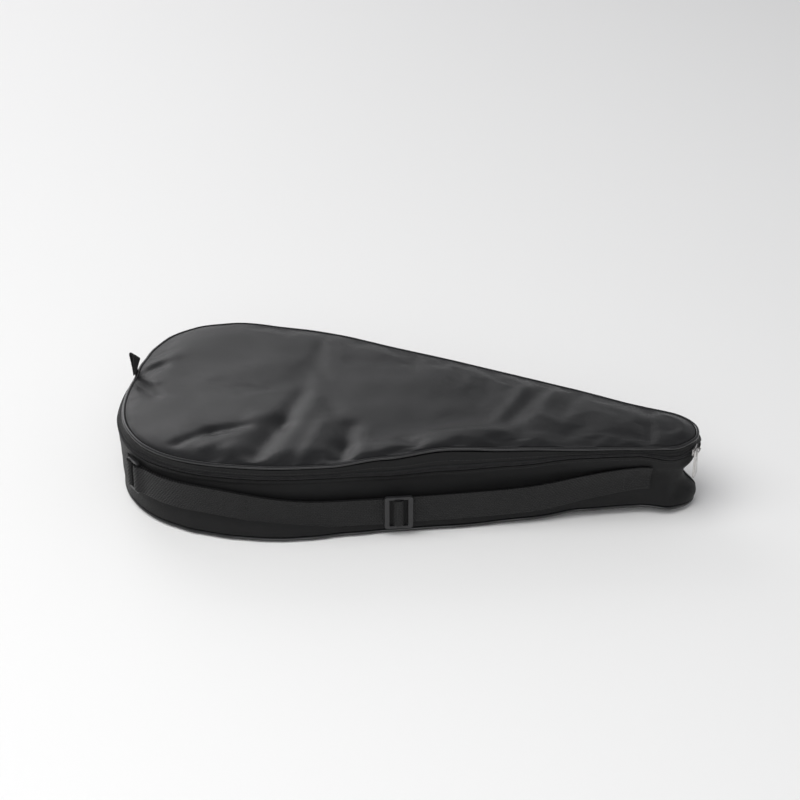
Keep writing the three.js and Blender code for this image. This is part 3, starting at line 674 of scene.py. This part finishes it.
def binding_mesh(name, middle, seed, body, node):
    """Folded tape over a raw seam edge: a flattened loop in section."""
    depths, heights = ring_section(8.9, middle, 1.0, 10)
    depths = 8.9 + (depths - 8.9) * 0.55
    heights = middle + (heights - middle) * 1.55
    piece = wall_mesh(name, 0, PERIMETER, (depths, heights), 3.0, piping_dents(0.35, seed))
    edit_all(piece, OUTWARDS)
    smooth_shading(piece, 60)
    dress(piece, tape_cloth, body, "zip_tape", node)


binding_mesh("back_binding_tape", 8.2, 2.2, "case_body", "back_seam_binding")

# ==== Lower side wall ====
# A strip of the same woven nylon joins the back piping to the lower zip tape, round the strap side and the
# head. It is soft: it draws in above the strap, bellies below it, and caves in at the narrow end.

ZIP_START, ZIP_END = -261.63, 620.06
HINGE_END = 962.19
WALL_FACE = 1.4


def dimple(distance, z, at, height, width, rise, depth):
    """A soft hollow in the wall, deepest at one place."""
    return depth * np.exp(-((distance - at) / width) ** 2 - ((z - height) / rise) ** 2)


# Hollows in the wall: place along the edge, height, half width, half rise and depth. A negative depth
# bulges out.
HOLLOWS = ((590, 14, 9, 6, 2.6), (545, 9, 12, 4, 1.8), (480, 13, 30, 5, -1.4), (230, 14, 70, 7, -1.2),
           (330, 52, 60, 4, 1.4), (200, 51, 40, 3.5, 1.2), (640, 30, 16, 10, 1.2), (-60, 30, 50, 12, 1.5),
           (-160, 26, 36, 12, 1.2))


def wall_creases(distance, z):
    """Long shallow waves and a few hollows where the empty wall buckles. Flat at its sewn edges."""
    rise = np.clip((z - 5) / 10, 0, 1) * np.clip((58 - z) / 7, 0, 1)
    points = np.stack([distance, 1.9 * z, 0 * z], -1)
    waves = crumple(points, 46, 1.5, 7.3) + crumple(points, 19, 0.5, 2.1)
    hollows = sum(dimple(distance, z, *hollow) for hollow in HOLLOWS)
    strap_rub = np.clip((distance - 70) / 20, 0, 1) * np.clip((575 - distance) / 15, 0, 1)
    held = np.clip(1 - np.abs(z - 34) / 18, 0, 1) * strap_rub
    return (np.maximum(waves, -0.4) * (1 - 0.75 * held) + hollows) * rise + 0.6 * held * rise


lower_wall = wall_mesh("lower_wall_cloth", ZIP_START, ZIP_END,
                       (np.full(29, WALL_FACE), np.linspace(5.0, 56.6, 29)), 2.6, wall_creases)
thicken(lower_wall, CLOTH_THICK)
dress(lower_wall, woven_nylon, "case_body", "woven_nylon", "lower_gusset")

# ==== Fabric hinge ====
# The side away from the strap has no zip: one full-height strip of woven nylon joins back and front, and
# the cover turns on its top edge.


def hinge_creases(distance, z):
    rise = np.clip((z - 5) / 12, 0, 1) * np.clip((66 - z) / 12, 0, 1)
    points = np.stack([distance, 1.7 * z, 0 * z], -1)
    return (crumple(points, 52, 2.2, 4.4) + crumple(points, 21, 0.6, 9.1)
            + dimple(distance, z, 700, 30, 40, 12, 1.6) + dimple(distance, z, 860, 38, 60, 11, 1.6)) * rise


hinge_wall = wall_mesh("hinge_wall_cloth", ZIP_END + 0.3, HINGE_END,
                       (np.full(31, WALL_FACE), np.linspace(5.0, 66.7, 31)), 2.8, hinge_creases)
thicken(hinge_wall, CLOTH_THICK)
dress(hinge_wall, woven_nylon, None, "woven_nylon", "hinge_gusset")
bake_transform(hinge_wall)

# ==== Wall padding and lining ====
# A 3 mm foam strip stiffens the wall all round and is covered by the same lining as the back.


def strip_mesh(name, depth, low, high, thickness, rows, bevel=0.0):
    """A strip all round the inside of the wall that follows its creases."""
    def shift_in(distance, z):
        return np.maximum(wall_creases(distance, z), -0.2) * 0.9

    section = (np.full(rows + 1, depth), np.linspace(low, high, rows + 1))
    piece = wall_mesh(name, 0, PERIMETER, section, 4.0, shift_in)
    thicken(piece, thickness, bevel=bevel, shading=60)
    return piece


wall_foam = strip_mesh("wall_foam", 4.1, 7.8, 53.5, 2.7, 14, 0.7)
dress(wall_foam, foam_finish, "case_body", "foam", "wall_padding")
wall_inner = strip_mesh("wall_lining_cloth", 7.4, 6.7, 54.0, LINING_THICK, 16)
dress(wall_inner, lining_cloth, "case_body", "lining", "wall_lining")

# ==== Zip: tapes, coils and end stops ====
# A size 5 coil zip. Each woven tape carries one continuous nylon coil whose turns grip those of the other
# half. Two small metal stops are clamped over the lower coil's ends.

ZIP_Z = 59.0
COIL_PITCH = 1.5
COIL_START, COIL_END = -255.6, 609.8

coil_nylon = moulded_finish("zip coil nylon", (0.013, 0.013, 0.014), (0.045, 0.045, 0.047), (0.34, 0.48),
                            relief=0.02, reach=6.0)
thread_finish = moulded_finish("sewing thread", (0.016, 0.016, 0.017), (0.04, 0.04, 0.04), (0.5, 0.66),
                               grain=2600.0, relief=0.05)


def tape_mesh(name, low, high):
    piece = wall_mesh(name, ZIP_START, ZIP_END, (np.full(7, 3.15), np.linspace(low, high, 7)), 3.0)
    thicken(piece, 0.5)
    return piece


def coil_mesh(name, middle):
    """One nylon filament wound into an oval coil. middle is the coil's height where the zip is closed, and
    at the slider, where the coils part, it moves to its own track."""
    turns = int((COIL_END - COIL_START) / COIL_PITCH)
    wire, oval_depth, oval_height = 0.27, 0.55, 0.8
    sides, per_turn = 5, 8

    def place(along, across):
        distance = COIL_START + along * (COIL_END - COIL_START)
        phase = 2 * math.pi * turns * along
        round_wire = 2 * math.pi * across
        apart = eased(distance, ((584, 0), (598, 1)))
        height = ZIP_Z + middle + np.sign(middle) * 0.42 * apart
        squeeze = 1 - 0.3 * apart
        depth = 2.0 - (oval_depth + wire * np.cos(round_wire)) * np.cos(phase)
        z = height + squeeze * (oval_height + wire * np.cos(round_wire)) * np.sin(phase)
        return wall_place(distance + wire * np.sin(round_wire), depth, z)

    piece = sheet_mesh(name, turns * per_turn, sides, place,
                       lambda along, across: (along * (COIL_END - COIL_START) * MM, across * MM))
    merge_doubles(piece, 0.00001)
    edit_all(piece, (bpy.ops.mesh.fill_holes, {"sides": 0}), OUTWARDS)
    smooth_shading(piece, 80)
    return piece


def copies_along(name, part, places):
    """Copies a small modelled part to each place, as one mesh. A place is a 4x4 matrix."""
    corners = np.array([list(vertex.co) + [1.0] for vertex in part.data.vertices])
    points = np.vstack([(corners @ np.array(place).T)[:, :3] for place in places])
    all_faces = []
    for first in range(0, len(points), len(corners)):
        all_faces += [[index + first for index in face.vertices] for face in part.data.polygons]
    mesh = bpy.data.meshes.new(name)
    mesh.from_pydata(points.tolist(), [], all_faces)
    piece = bpy.data.objects.new(name, mesh)
    bpy.context.scene.collection.objects.link(piece)
    bpy.data.objects.remove(part)
    smooth_shading(piece, 80)
    return piece


def one_stitch(length, thickness):
    deselect_all()
    bpy.ops.mesh.primitive_uv_sphere_add(segments=6, ring_count=4, radius=0.5)
    stitch = bpy.context.object
    size = (thickness * MM, thickness * MM, length * MM)
    edit_all(stitch, (bpy.ops.transform.resize, {"value": size}))
    return stitch


def on_wall(distance, depth, z, shift=0.0):
    """A place on the wall: its third axis runs along the wall, its second straight out."""
    here, ahead, above = (Vector(wall_place(distance + step, depth, z + rise, shift))
                          for step, rise in ((0, 0), (0.6, 0), (0, 0.6)))
    along = (ahead - here).normalized()
    out = along.cross((above - here).normalized()).normalized()
    up = out.cross(along)
    return Matrix([[*column, 0] for column in (up, out, along)]).to_3x3().transposed().to_4x4(), here


STITCH_PITCH = 3.3


def stitch_row(name, z, creases):
    """A row of stitches along the zip, near the edge of a wall that has these creases."""
    places = []
    for index, distance in enumerate(np.arange(ZIP_START + 3, ZIP_END - 2, STITCH_PITCH)):
        shift = float(creases(np.array([distance]), np.array([z]))[0])
        turn, here = on_wall(distance, WALL_FACE - 0.1, z, shift)
        turn = turn @ Matrix.Rotation(math.radians(5 if index % 2 else 3), 4, "Y")
        places.append(Matrix.Translation(here) @ turn)
    return copies_along(name, one_stitch(2.5, 0.42), places)


for half, body, low, high, middle in (("lower", "case_body", 50.9, 58.3, -0.92),
                                      ("upper", "front_cover", 59.7, 65.5, 0.92)):
    tape = tape_mesh(half + "_zip_tape_cloth", low, high)
    dress(tape, tape_cloth, body, "zip_tape", half + "_zip_tape")
    coil = coil_mesh(half + "_zip_coil_turns", middle)
    dress(coil, coil_nylon, body, "zip_coil", half + "_zip_coil")
lower_stitches = stitch_row("lower_wall_stitches", 54.2, wall_creases)
dress(lower_stitches, thread_finish, "case_body", "woven_nylon")

nickel = moulded_finish("nickel plate", (0.60, 0.585, 0.575), (0.82, 0.80, 0.79), (0.2, 0.34), grain=1500.0,
                        relief=0.012, reach=5.0, metallic=1.0)


def machined_copy(node, name, edge, reshape=None):
    """A CAD part's own shape with its facets merged into clean faces and its edges rounded over."""
    deselect_all()
    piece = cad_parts[node].copy()
    piece.data = piece.data.copy()
    piece.parent = None
    for key in list(piece.keys()):
        del piece[key]
    piece.name = piece.data.name = name
    bpy.context.scene.collection.objects.link(piece)
    merge_doubles(piece, 0.00001)
    if piece.data.has_custom_normals:
        bpy.ops.mesh.customdata_custom_splitnormals_clear()
    if reshape:
        points = np.array([vertex.co for vertex in piece.data.vertices])
        piece.data.vertices.foreach_set("co", reshape(points).ravel())
    edit_all(piece, (bpy.ops.mesh.dissolve_limited, {"angle_limit": math.radians(4)}), OUTWARDS)
    round_edges(piece, edge, 28, 3)
    smooth_shading(piece, 38)
    return piece


for stop in ("zip_bottom_stop", "zip_top_stop"):
    clamp = machined_copy(stop, stop + "_clamp", 0.35)
    dress(clamp, nickel, "case_body", "nickel", stop)

# ==== Front lining, padding and seam binding ====
# Inside the cover: smooth lining, then a foam sheet. Both follow the crown of the front panel.

FRONT_EDGE_Z = 70.1
CROWN = 3.5
CROWN_WIDTH = 30.0

# Folds in the front panel: start and end in plan, half width and height, all in millimetres. A negative
# height is a valley. The soft coated cloth has collapsed a little over the foam along the strap side.
FOLDS = (
    (-90, 4, -97, -52, 8, -2.2), (-97, -52, -106, -104, 9.5, -3.6), (-76, -4, -86, -98, 8, 0.8),
    (-121, -50, -130, -102, 8, 1.4), (-125, -64, -152, -78, 5.5, -2.0), (-152, -78, -176, -102, 4.5, -1.8),
    (-134, -82, -152, -104, 6, 1.0), (-38, -48, -37, -80, 8.5, -2.6), (-37, -80, -36, -104, 9, -4.2),
    (-62, -50, -66, -100, 7, 1.3), (-23, -56, -20, -98, 7, 0.6), (-73, -1, -56, -24, 6, -1.0),
    (116, -8, 214, 12, 13, 1.8), (110, -36, 206, -20, 9, -1.3), (102, 42, 84, -21, 7, 1.3),
    (112, 38, 94, -21, 8, -1.5), (128, 40, 119, -2, 7, 1.3), (147, 42, 138, -2, 6, -0.9),
    (211, 24, 216, -24, 7, -1.6), (238, 20, 246, -8, 10, 2.0), (-246, 8, -222, 24, 4.5, -2.2),
    (-246, 19, -214, 42, 6, 1.1), (-240, -4, -214, -27, 5, -1.7), (-246, 2, -220, -6, 4, 1.2),
    (10, -62, 24, -70, 6, -1.5), (34, -52, 84, -42, 9, 1.4), (158, -34, 183, -27, 7, 0.8),
    (-17, -64, 69, -16, 20, -1.2), (-40, 30, 60, 46, 16, 0.9), (-60, 66, 20, 74, 8, -1.1),
    (-170, 20, -120, 46, 18, 0.8), (-200, -40, -170, -66, 14, 0.7), (30, 10, 84, 22, 13, -0.8),
)


def fold_relief(plan):
    relief = np.zeros(len(plan))
    for x0, y0, x1, y1, width, height in FOLDS:
        start, run = np.array([x0, y0], float), np.array([x1 - x0, y1 - y0], float)
        part = np.clip((plan - start) @ run / (run @ run), 0, 1)
        away = np.linalg.norm(plan - start - part[:, None] * run, axis=1)
        relief += height * np.exp(-(away / width) ** 2)
    return relief


def front_height(plan, depth):
    rise = np.clip((depth - PANEL_EDGE) / CROWN_WIDTH, 0, 1)
    crown = CROWN * np.sin(rise * math.pi / 2)
    held = np.clip((depth - PANEL_EDGE) / 9, 0, 1)
    flat = np.c_[plan, 0 * depth]
    soft = crumple(flat, 62, 1.1, 11.0) + crumple(flat, 24, 0.35, 4.0)
    return FRONT_EDGE_Z + crown + (fold_relief(plan) + soft) * held


FOAM_THICK = 4.6
FOAM_UNDER = 1.4              # how far the foam's top lies under the panel's face
LINING_UNDER = 0.9            # and the lining under the foam
front_inner = panel_mesh(
    "front_lining_cloth", PAD_EDGE,
    lambda plan, depth: front_height(plan, depth) - FOAM_UNDER - FOAM_THICK - LINING_UNDER, 300, 26)
thicken(front_inner, LINING_THICK, 1.0)
dress(front_inner, lining_cloth, "front_cover", "lining", "front_lining")

front_foam = pad_mesh("front_foam", lambda plan, depth: front_height(plan, depth) - FOAM_UNDER,
                      FOAM_THICK, 20)
dress(front_foam, foam_finish, "front_cover", "foam", "front_padding")

binding_mesh("front_binding_tape", 61.8, 6.6, "front_cover", "front_seam_binding")

# ==== Front panel ====
# The showpiece: satin black nylon with a polyurethane coat, cut to the outline and lying loosely over the
# foam, so that it carries soft folds.

coated_nylon = cloth_finish("coated nylon", (0.0050, 0.0050, 0.0058), (0.0080, 0.0080, 0.0087), (0.31, 0.40),
                            (0.00034, 0.00034), 0.035, patches=9.0, slub=0.1, specular=0.42,
                            lint=(0.06, 0.06, 0.06))


def points_of(piece):
    points = np.zeros(len(piece.data.vertices) * 3)
    piece.data.vertices.foreach_get("co", points)
    return points.reshape(-1, 3)


CLOTH_FRAMES = 16


def relax_cloth(piece, spare, pressure, lowest, highest):
    """Lets a sheet that is sewn down at its edge find its own soft folds: it has a little spare length, air
    under it and no weight. No point moves further than the foam below and the fabric's slack allow."""
    start = points_of(piece)
    uses = np.zeros(len(piece.data.edges), int)
    for face in piece.data.polygons:
        for key in face.loop_indices:
            uses[piece.data.loops[key].edge_index] += 1
    rim = sorted({point for edge in piece.data.edges if uses[edge.index] == 1 for point in edge.vertices})
    sewn = piece.vertex_groups.new(name="sewn edge")
    sewn.add(rim, 1.0, "REPLACE")
    select_only(piece)
    modifier = piece.modifiers.new("cloth", "CLOTH")
    cloth = modifier.settings
    cloth.vertex_group_mass = "sewn edge"
    cloth.quality = 6
    cloth.mass = 0.15
    cloth.tension_stiffness = cloth.compression_stiffness = 30
    cloth.shear_stiffness = 12
    cloth.bending_stiffness = 0.6
    cloth.shrink_min = -spare
    cloth.use_pressure = True
    cloth.uniform_pressure_force = pressure
    cloth.effector_weights.gravity = 0
    modifier.collision_settings.use_collision = False
    modifier.point_cache.frame_start, modifier.point_cache.frame_end = 1, CLOTH_FRAMES
    for frame_number in range(1, CLOTH_FRAMES + 1):
        bpy.context.scene.frame_set(frame_number)
    bpy.ops.object.modifier_apply(modifier=modifier.name)
    bpy.context.scene.frame_set(1)
    moved = points_of(piece) - start
    sideways = np.linalg.norm(moved[:, :2], axis=1, keepdims=True)
    moved[:, :2] *= np.minimum(1, 0.8 * MM / np.maximum(sideways, 1e-9))
    moved[:, 2] = np.clip(moved[:, 2], lowest * MM, highest * MM)
    piece.data.vertices.foreach_set("co", (start + moved).ravel())
    piece.vertex_groups.clear()
    piece.data.update()


front_cloth = panel_mesh("front_panel_cloth", PANEL_EDGE, front_height, 260, 30)
relax_cloth(front_cloth, 0.004, 0.4, -0.35, 1.2)
finish_with(front_cloth, "SUBSURF", levels=1, render_levels=1)
thicken(front_cloth, CLOTH_THICK)
dress(front_cloth, coated_nylon, "front_cover", "coated_nylon", "front_panel")

# ==== Front piping and upper side wall ====
# The same glossy vinyl bead edges the cover. Below it a narrow strip of woven nylon runs down to the upper
# zip tape, its folded edge stitched down along the coil.

piping_mesh("front_piping_bead", 69.0, 8.8, "front_cover", "front_piping")


def upper_creases(distance, z):
    points = np.stack([distance, 2.5 * z, 0 * z], -1)
    hold = np.clip((z - 60.5) / 3, 0, 1) * np.clip((67.5 - z) / 3, 0, 1)
    return (crumple(points, 30, 0.9, 5.5) + 0.5) * hold


upper_wall = wall_mesh("upper_wall_cloth", ZIP_START, ZIP_END,
                       (np.full(9, WALL_FACE), np.linspace(61.4, 66.9, 9)), 2.6, upper_creases)
thicken(upper_wall, CLOTH_THICK)
dress(upper_wall, woven_nylon, "front_cover", "woven_nylon", "upper_gusset")
upper_stitches = stitch_row("upper_wall_stitches", 62.9, upper_creases)
dress(upper_stitches, thread_finish, "front_cover", "woven_nylon")

# ==== Hang loop ====
# A short folded tape sewn into the head's front seam beside the apex. It stands straight up, narrow where
# it is gathered into the seam, wider and slanted at its top.

# The ribbed webbing gets strong painted shade between its ribs.
webbing_cloth = cloth_finish("ribbed webbing", (0.0040, 0.0040, 0.0042), (0.0130, 0.0130, 0.0133),
                             (0.48, 0.64), (0.00135, 0.0018), 0.5, patches=30.0, slub=0.25, sheen=0.03,
                             specular=0.34, gap_shade=0.95)
LOOP_AT = -16.0
loop_turn, loop_root = on_wall(LOOP_AT, WALL_FACE - 1.6, 69.5)
LOOP_RISE = math.radians(92)


def smooth_path(corners, count):
    """Evenly spaced points on a curve through the corners."""
    corners = np.array(corners, float)
    padded = np.vstack([2 * corners[0] - corners[1], corners, 2 * corners[-1] - corners[-2]])
    fine = []
    for index in range(1, len(padded) - 2):
        a, b, c, d = padded[index - 1:index + 3]
        t = np.linspace(0, 1, 40, endpoint=False)[:, None]
        fine.append(0.5 * (2 * b + (c - a) * t + (2 * a - 5 * b + 4 * c - d) * t * t
                           + (3 * b - a - 3 * c + d) * t ** 3))
    fine = np.vstack([*fine, corners[-1]])
    run = np.r_[0, np.cumsum(np.linalg.norm(np.diff(fine, axis=0), axis=1))]
    wanted = np.linspace(0, run[-1], count)
    return np.stack([np.interp(wanted, run, fine[:, axis]) for axis in range(fine.shape[1])], -1), run[-1]


LOOP_STEPS = 48
loop_line, loop_length = smooth_path([
    (-1.5, -0.75), (5, -0.9), (12, -1.3), (16.4, -1.4), (17.8, 0), (16.4, 1.4), (12, 1.2), (5, 0.75),
    (-1.5, 0.6)], LOOP_STEPS + 1)


def loop_place(along, across):
    """Reach runs up the loop, lean across its thickness, and the width lies along the seam."""
    reach, lean = loop_line[np.rint(along * LOOP_STEPS).astype(int)].T
    side = across - 0.5
    up_part = np.clip(reach / 17, 0, 1)
    width = 8.0 + 5.5 * up_part ** 0.9
    reach = reach + 10.5 * side * up_part
    twist = 0.5 * up_part * side * width
    out = reach * math.cos(LOOP_RISE) - lean * math.sin(LOOP_RISE)
    rise = reach * math.sin(LOOP_RISE) + lean * math.cos(LOOP_RISE)
    local = np.stack([rise + 0.35 * twist, out + 0.5 * twist, side * width], -1)
    return np.array(loop_root) + local @ np.array(loop_turn.to_3x3()).T * MM


hang_loop = sheet_mesh("hang_loop_tape", LOOP_STEPS, 8, loop_place,
                       lambda along, across: (along * loop_length * MM, across * 0.012))
thicken(hang_loop, CLOTH_THICK, 0.0, 0.2, 60)
dress(hang_loop, tape_cloth, "front_cover", "webbing", "hang_loop")

# ==== Strap: anchor loop, webbing, ring, tri-glide ====
# A 25 mm ribbed webbing strap. It is box stitched to the wall near the narrow end, runs back to a
# rectangular ring held by a stitched loop, turns round the ring's bar and returns over itself to the
# tri-glide.

STRAP_TOP = 48.0
STRAP_WIDTH = 25.0
WEBBING_THICK = 1.15
STRAP_END = 560.0
STRAP_SAG = 12.0
SEWN_FROM = 430.0             # beyond here the strap follows the settled wall


def strap_lift(distance):
    """The strap comes down behind the ring and rises steadily from the tri-glide to its sewn end."""
    rise = np.clip((distance - 335) / (STRAP_END - 335), 0, 1) ** 1.8
    return STRAP_SAG * (rise - eased(distance, ((165, 0), (285, 1))))


def sewn_share(distance):
    """How much of the settled wall the strap follows: none as far as SEWN_FROM, all of it at its sewn end."""
    return eased(distance, ((SEWN_FROM, 0), (STRAP_END - 8, 1)))


def strap_band(name, corners, narrow=0.0, spacing=1.25, wavy=0.0):
    """Upright webbing along a plan line of (distance, height off the wall's face)."""
    length = smooth_path(corners, 2)[1]
    columns = int(length / spacing)
    line, length = smooth_path(corners, columns + 1)

    def place(along, across):
        distance, off = line[np.rint(along * columns).astype(int)].T
        z = STRAP_TOP - narrow / 2 - (STRAP_WIDTH - narrow) * (1 - across)
        sewn = sewn_share(distance)
        moved_in, moved_up = settled(distance, 0 * distance + WALL_FACE, z)
        z = z + strap_lift(distance)
        points = np.stack([distance, z, 0 * z], -1)
        loose = np.clip((distance - 130) / 60, 0, 1) * np.clip((545 - distance) / 40, 0, 1) * wavy
        off = off + crumple(points, 52, 1.0, 6.0) * loose
        z = z + crumple(points * [1, 0, 0], 60, 0.9, 3.0) * loose + moved_up * sewn
        depth = WALL_FACE - off + moved_in * sewn
        plan = outline_at(distance) + inward_at(distance) * depth[:, None] + SHIFT
        return np.concatenate([plan, z[:, None]], -1) * MM

    piece = sheet_mesh(name, columns, 12, place,
                       lambda along, across: (along * length * MM, across * STRAP_WIDTH * MM))
    thicken(piece, WEBBING_THICK, 0.0, 0.35, 60)
    return piece


anchor = strap_band("ring_anchor_webbing", [
    (87, 2.4), (90, 2.5), (93.5, 4.2), (95.4, 5.9), (97.5, 6.45), (99.5, 6.3), (100.8, 5.3), (101.1, 3.6),
    (100.6, 1.9), (99, 1.2), (95, 1.1), (90, 1.1), (87, 1.1)], narrow=0.8, spacing=0.7)
dress(anchor, webbing_cloth, "case_body", "webbing", "ring_anchor_loop")

webbing_run = strap_band("strap_webbing", [
    (STRAP_END, 1.1), (500, 1.1), (420, 1.1), (340, 1.1), (260, 1.1), (180, 1.1), (130, 1.1), (114, 1.15),
    (109.6, 1.2), (107.6, 1.9), (106.9, 3.6), (107.2, 5.3), (108.5, 6.3), (110.6, 6.45), (112.6, 5.9),
    (115, 4.4), (118, 3.1), (123, 2.6), (150, 2.55), (215, 2.55)], wavy=0.35)
dress(webbing_run, webbing_cloth, None, "webbing", "strap_main", "strap_ring_fold")
wall_place(168, 0, 30).tolist()
wall_place(114, 0, 30).tolist()
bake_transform(webbing_run)

webbing_end = strap_band("strap_return_webbing", [
    (215, 2.55), (250, 2.55), (300, 2.55), (328, 2.6), (334.5, 2.8), (337.4, 3.3), (338.8, 4.4), (339.4, 5.9),
    (340.4, 7.1), (343, 7.6), (345.6, 7.1), (346.6, 5.9), (347.2, 4.4), (348.4, 3.1), (352, 2.6)], wavy=0.35)
dress(webbing_end, webbing_cloth, None, "webbing", "strap_return", "strap_glide_fold")
wall_place(232, 0, 30).tolist()
wall_place(332, 0, 30).tolist()
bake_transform(webbing_end)

acetal = moulded_finish("black moulded plastic", (0.014, 0.014, 0.015), (0.06, 0.06, 0.062), (0.3, 0.42),
                        grain=900.0, relief=0.03, reach=7.0)
ring = machined_copy("strap_ring", "strap_ring_frame", 0.8)
dress(ring, acetal, "strap_ring", "black_plastic", "strap_ring")
glide = machined_copy("tri_glide", "tri_glide_frame", 0.75)
dress(glide, acetal, "tri_glide", "black_plastic", "tri_glide")


def strap_stitch_rows(name, runs, off, pitch=2.4):
    """Short straight runs of stitches on the strap: (distance, height) to (distance, height)."""
    places = []
    for d0, z0, d1, z1 in runs:
        steps = max(1, int(math.hypot(d1 - d0, z1 - z0) / pitch))
        for step in range(steps):
            part = (step + 0.5) / steps
            distance, z = np.array(d0 + (d1 - d0) * part), z0 + (z1 - z0) * part
            turn = on_wall(distance, WALL_FACE - off, z)[0]
            sewn = sewn_share(distance)
            moved_in, moved_up = settled(distance, np.array(WALL_FACE), np.array(z))
            plan = outline_at(distance) + inward_at(distance) * (WALL_FACE - off + moved_in * sewn) + SHIFT
            here = Vector((*plan, z + strap_lift(distance) + moved_up * sewn)) * MM
            lean = math.atan2(z1 - z0, d1 - d0)
            places.append(Matrix.Translation(here) @ turn @ Matrix.Rotation(lean, 4, "Y"))
    return copies_along(name, one_stitch(2.0, 0.45), places)


box_stitch = strap_stitch_rows("strap_box_stitches", [
    (537, 24.5, 558, 24.5), (537, 46.5, 558, 46.5), (537, 24.5, 537, 46.5), (558, 24.5, 558, 46.5),
    (537, 24.5, 558, 46.5), (537, 46.5, 558, 24.5)], 1.75)
dress(box_stitch, thread_finish, "case_body", "webbing")
anchor_stitch = strap_stitch_rows("anchor_bar_tacks", [
    (88.3, 24.5, 88.3, 46.5), (90.2, 24.5, 90.2, 46.5)], 3.2, 1.9)
dress(anchor_stitch, thread_finish, "case_body", "webbing")

# ==== Zip slider and pull tab ====
# A plated die-cast slider whose arched bridge holds a stamped pull tab. The tab hangs down over the narrow
# end and has a shallow raised panel.

SLIDER_TURN = math.radians(-14)
tip_middle = np.array([TIP_X, 0.0]) + SHIFT


def taper_slider(points):
    """Narrows the plates towards the closed side of the zip and hollows their waist, as on a real slider."""
    plan = points[:, :2] / MM - tip_middle
    turn = np.arctan2(plan[:, 1], plan[:, 0]) - SLIDER_TURN
    share = np.clip(turn / (11 / TIP_RADIUS) + 0.5, 0, 1)
    width = eased(share, ((0, 0.72), (0.5, 0.82), (0.75, 1.0), (1, 0.9)))
    points[:, 2] = ZIP_Z * MM + (points[:, 2] - ZIP_Z * MM) * width
    return points


slider = machined_copy("slider_body", "slider_shell", 0.3, taper_slider)
dress(slider, nickel, "zip_slider", "nickel", "slider_body")
bridge = machined_copy("slider_bridge", "slider_arch", 0.35)
dress(bridge, nickel, "zip_slider", "nickel", "slider_bridge")
tab = machined_copy("pull_tab", "pull_tab_plate", 0.3)
tab_out = Vector((math.cos(SLIDER_TURN), math.sin(SLIDER_TURN), 0))
tab_low, tab_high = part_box("pull_tab")
panel_middle = (tab_low + tab_high) / 2 + tab_out * 0.00062
panel_middle.z = tab_low.z + 0.0108
deselect_all()
bpy.ops.mesh.primitive_cube_add(size=1, location=panel_middle, rotation=(0, 0, SLIDER_TURN),
                                scale=(0.0007, 0.0058, 0.0125))
raised = bpy.context.object
raised.name = raised.data.name = "pull_tab_panel"
bpy.ops.object.transform_apply(location=True, rotation=True, scale=True)
round_edges(raised, 0.3, 30, 3)
smooth_shading(raised, 38)
dress(raised, nickel, "pull_tab", "nickel")
dress(tab, nickel, "pull_tab", "nickel", "pull_tab")
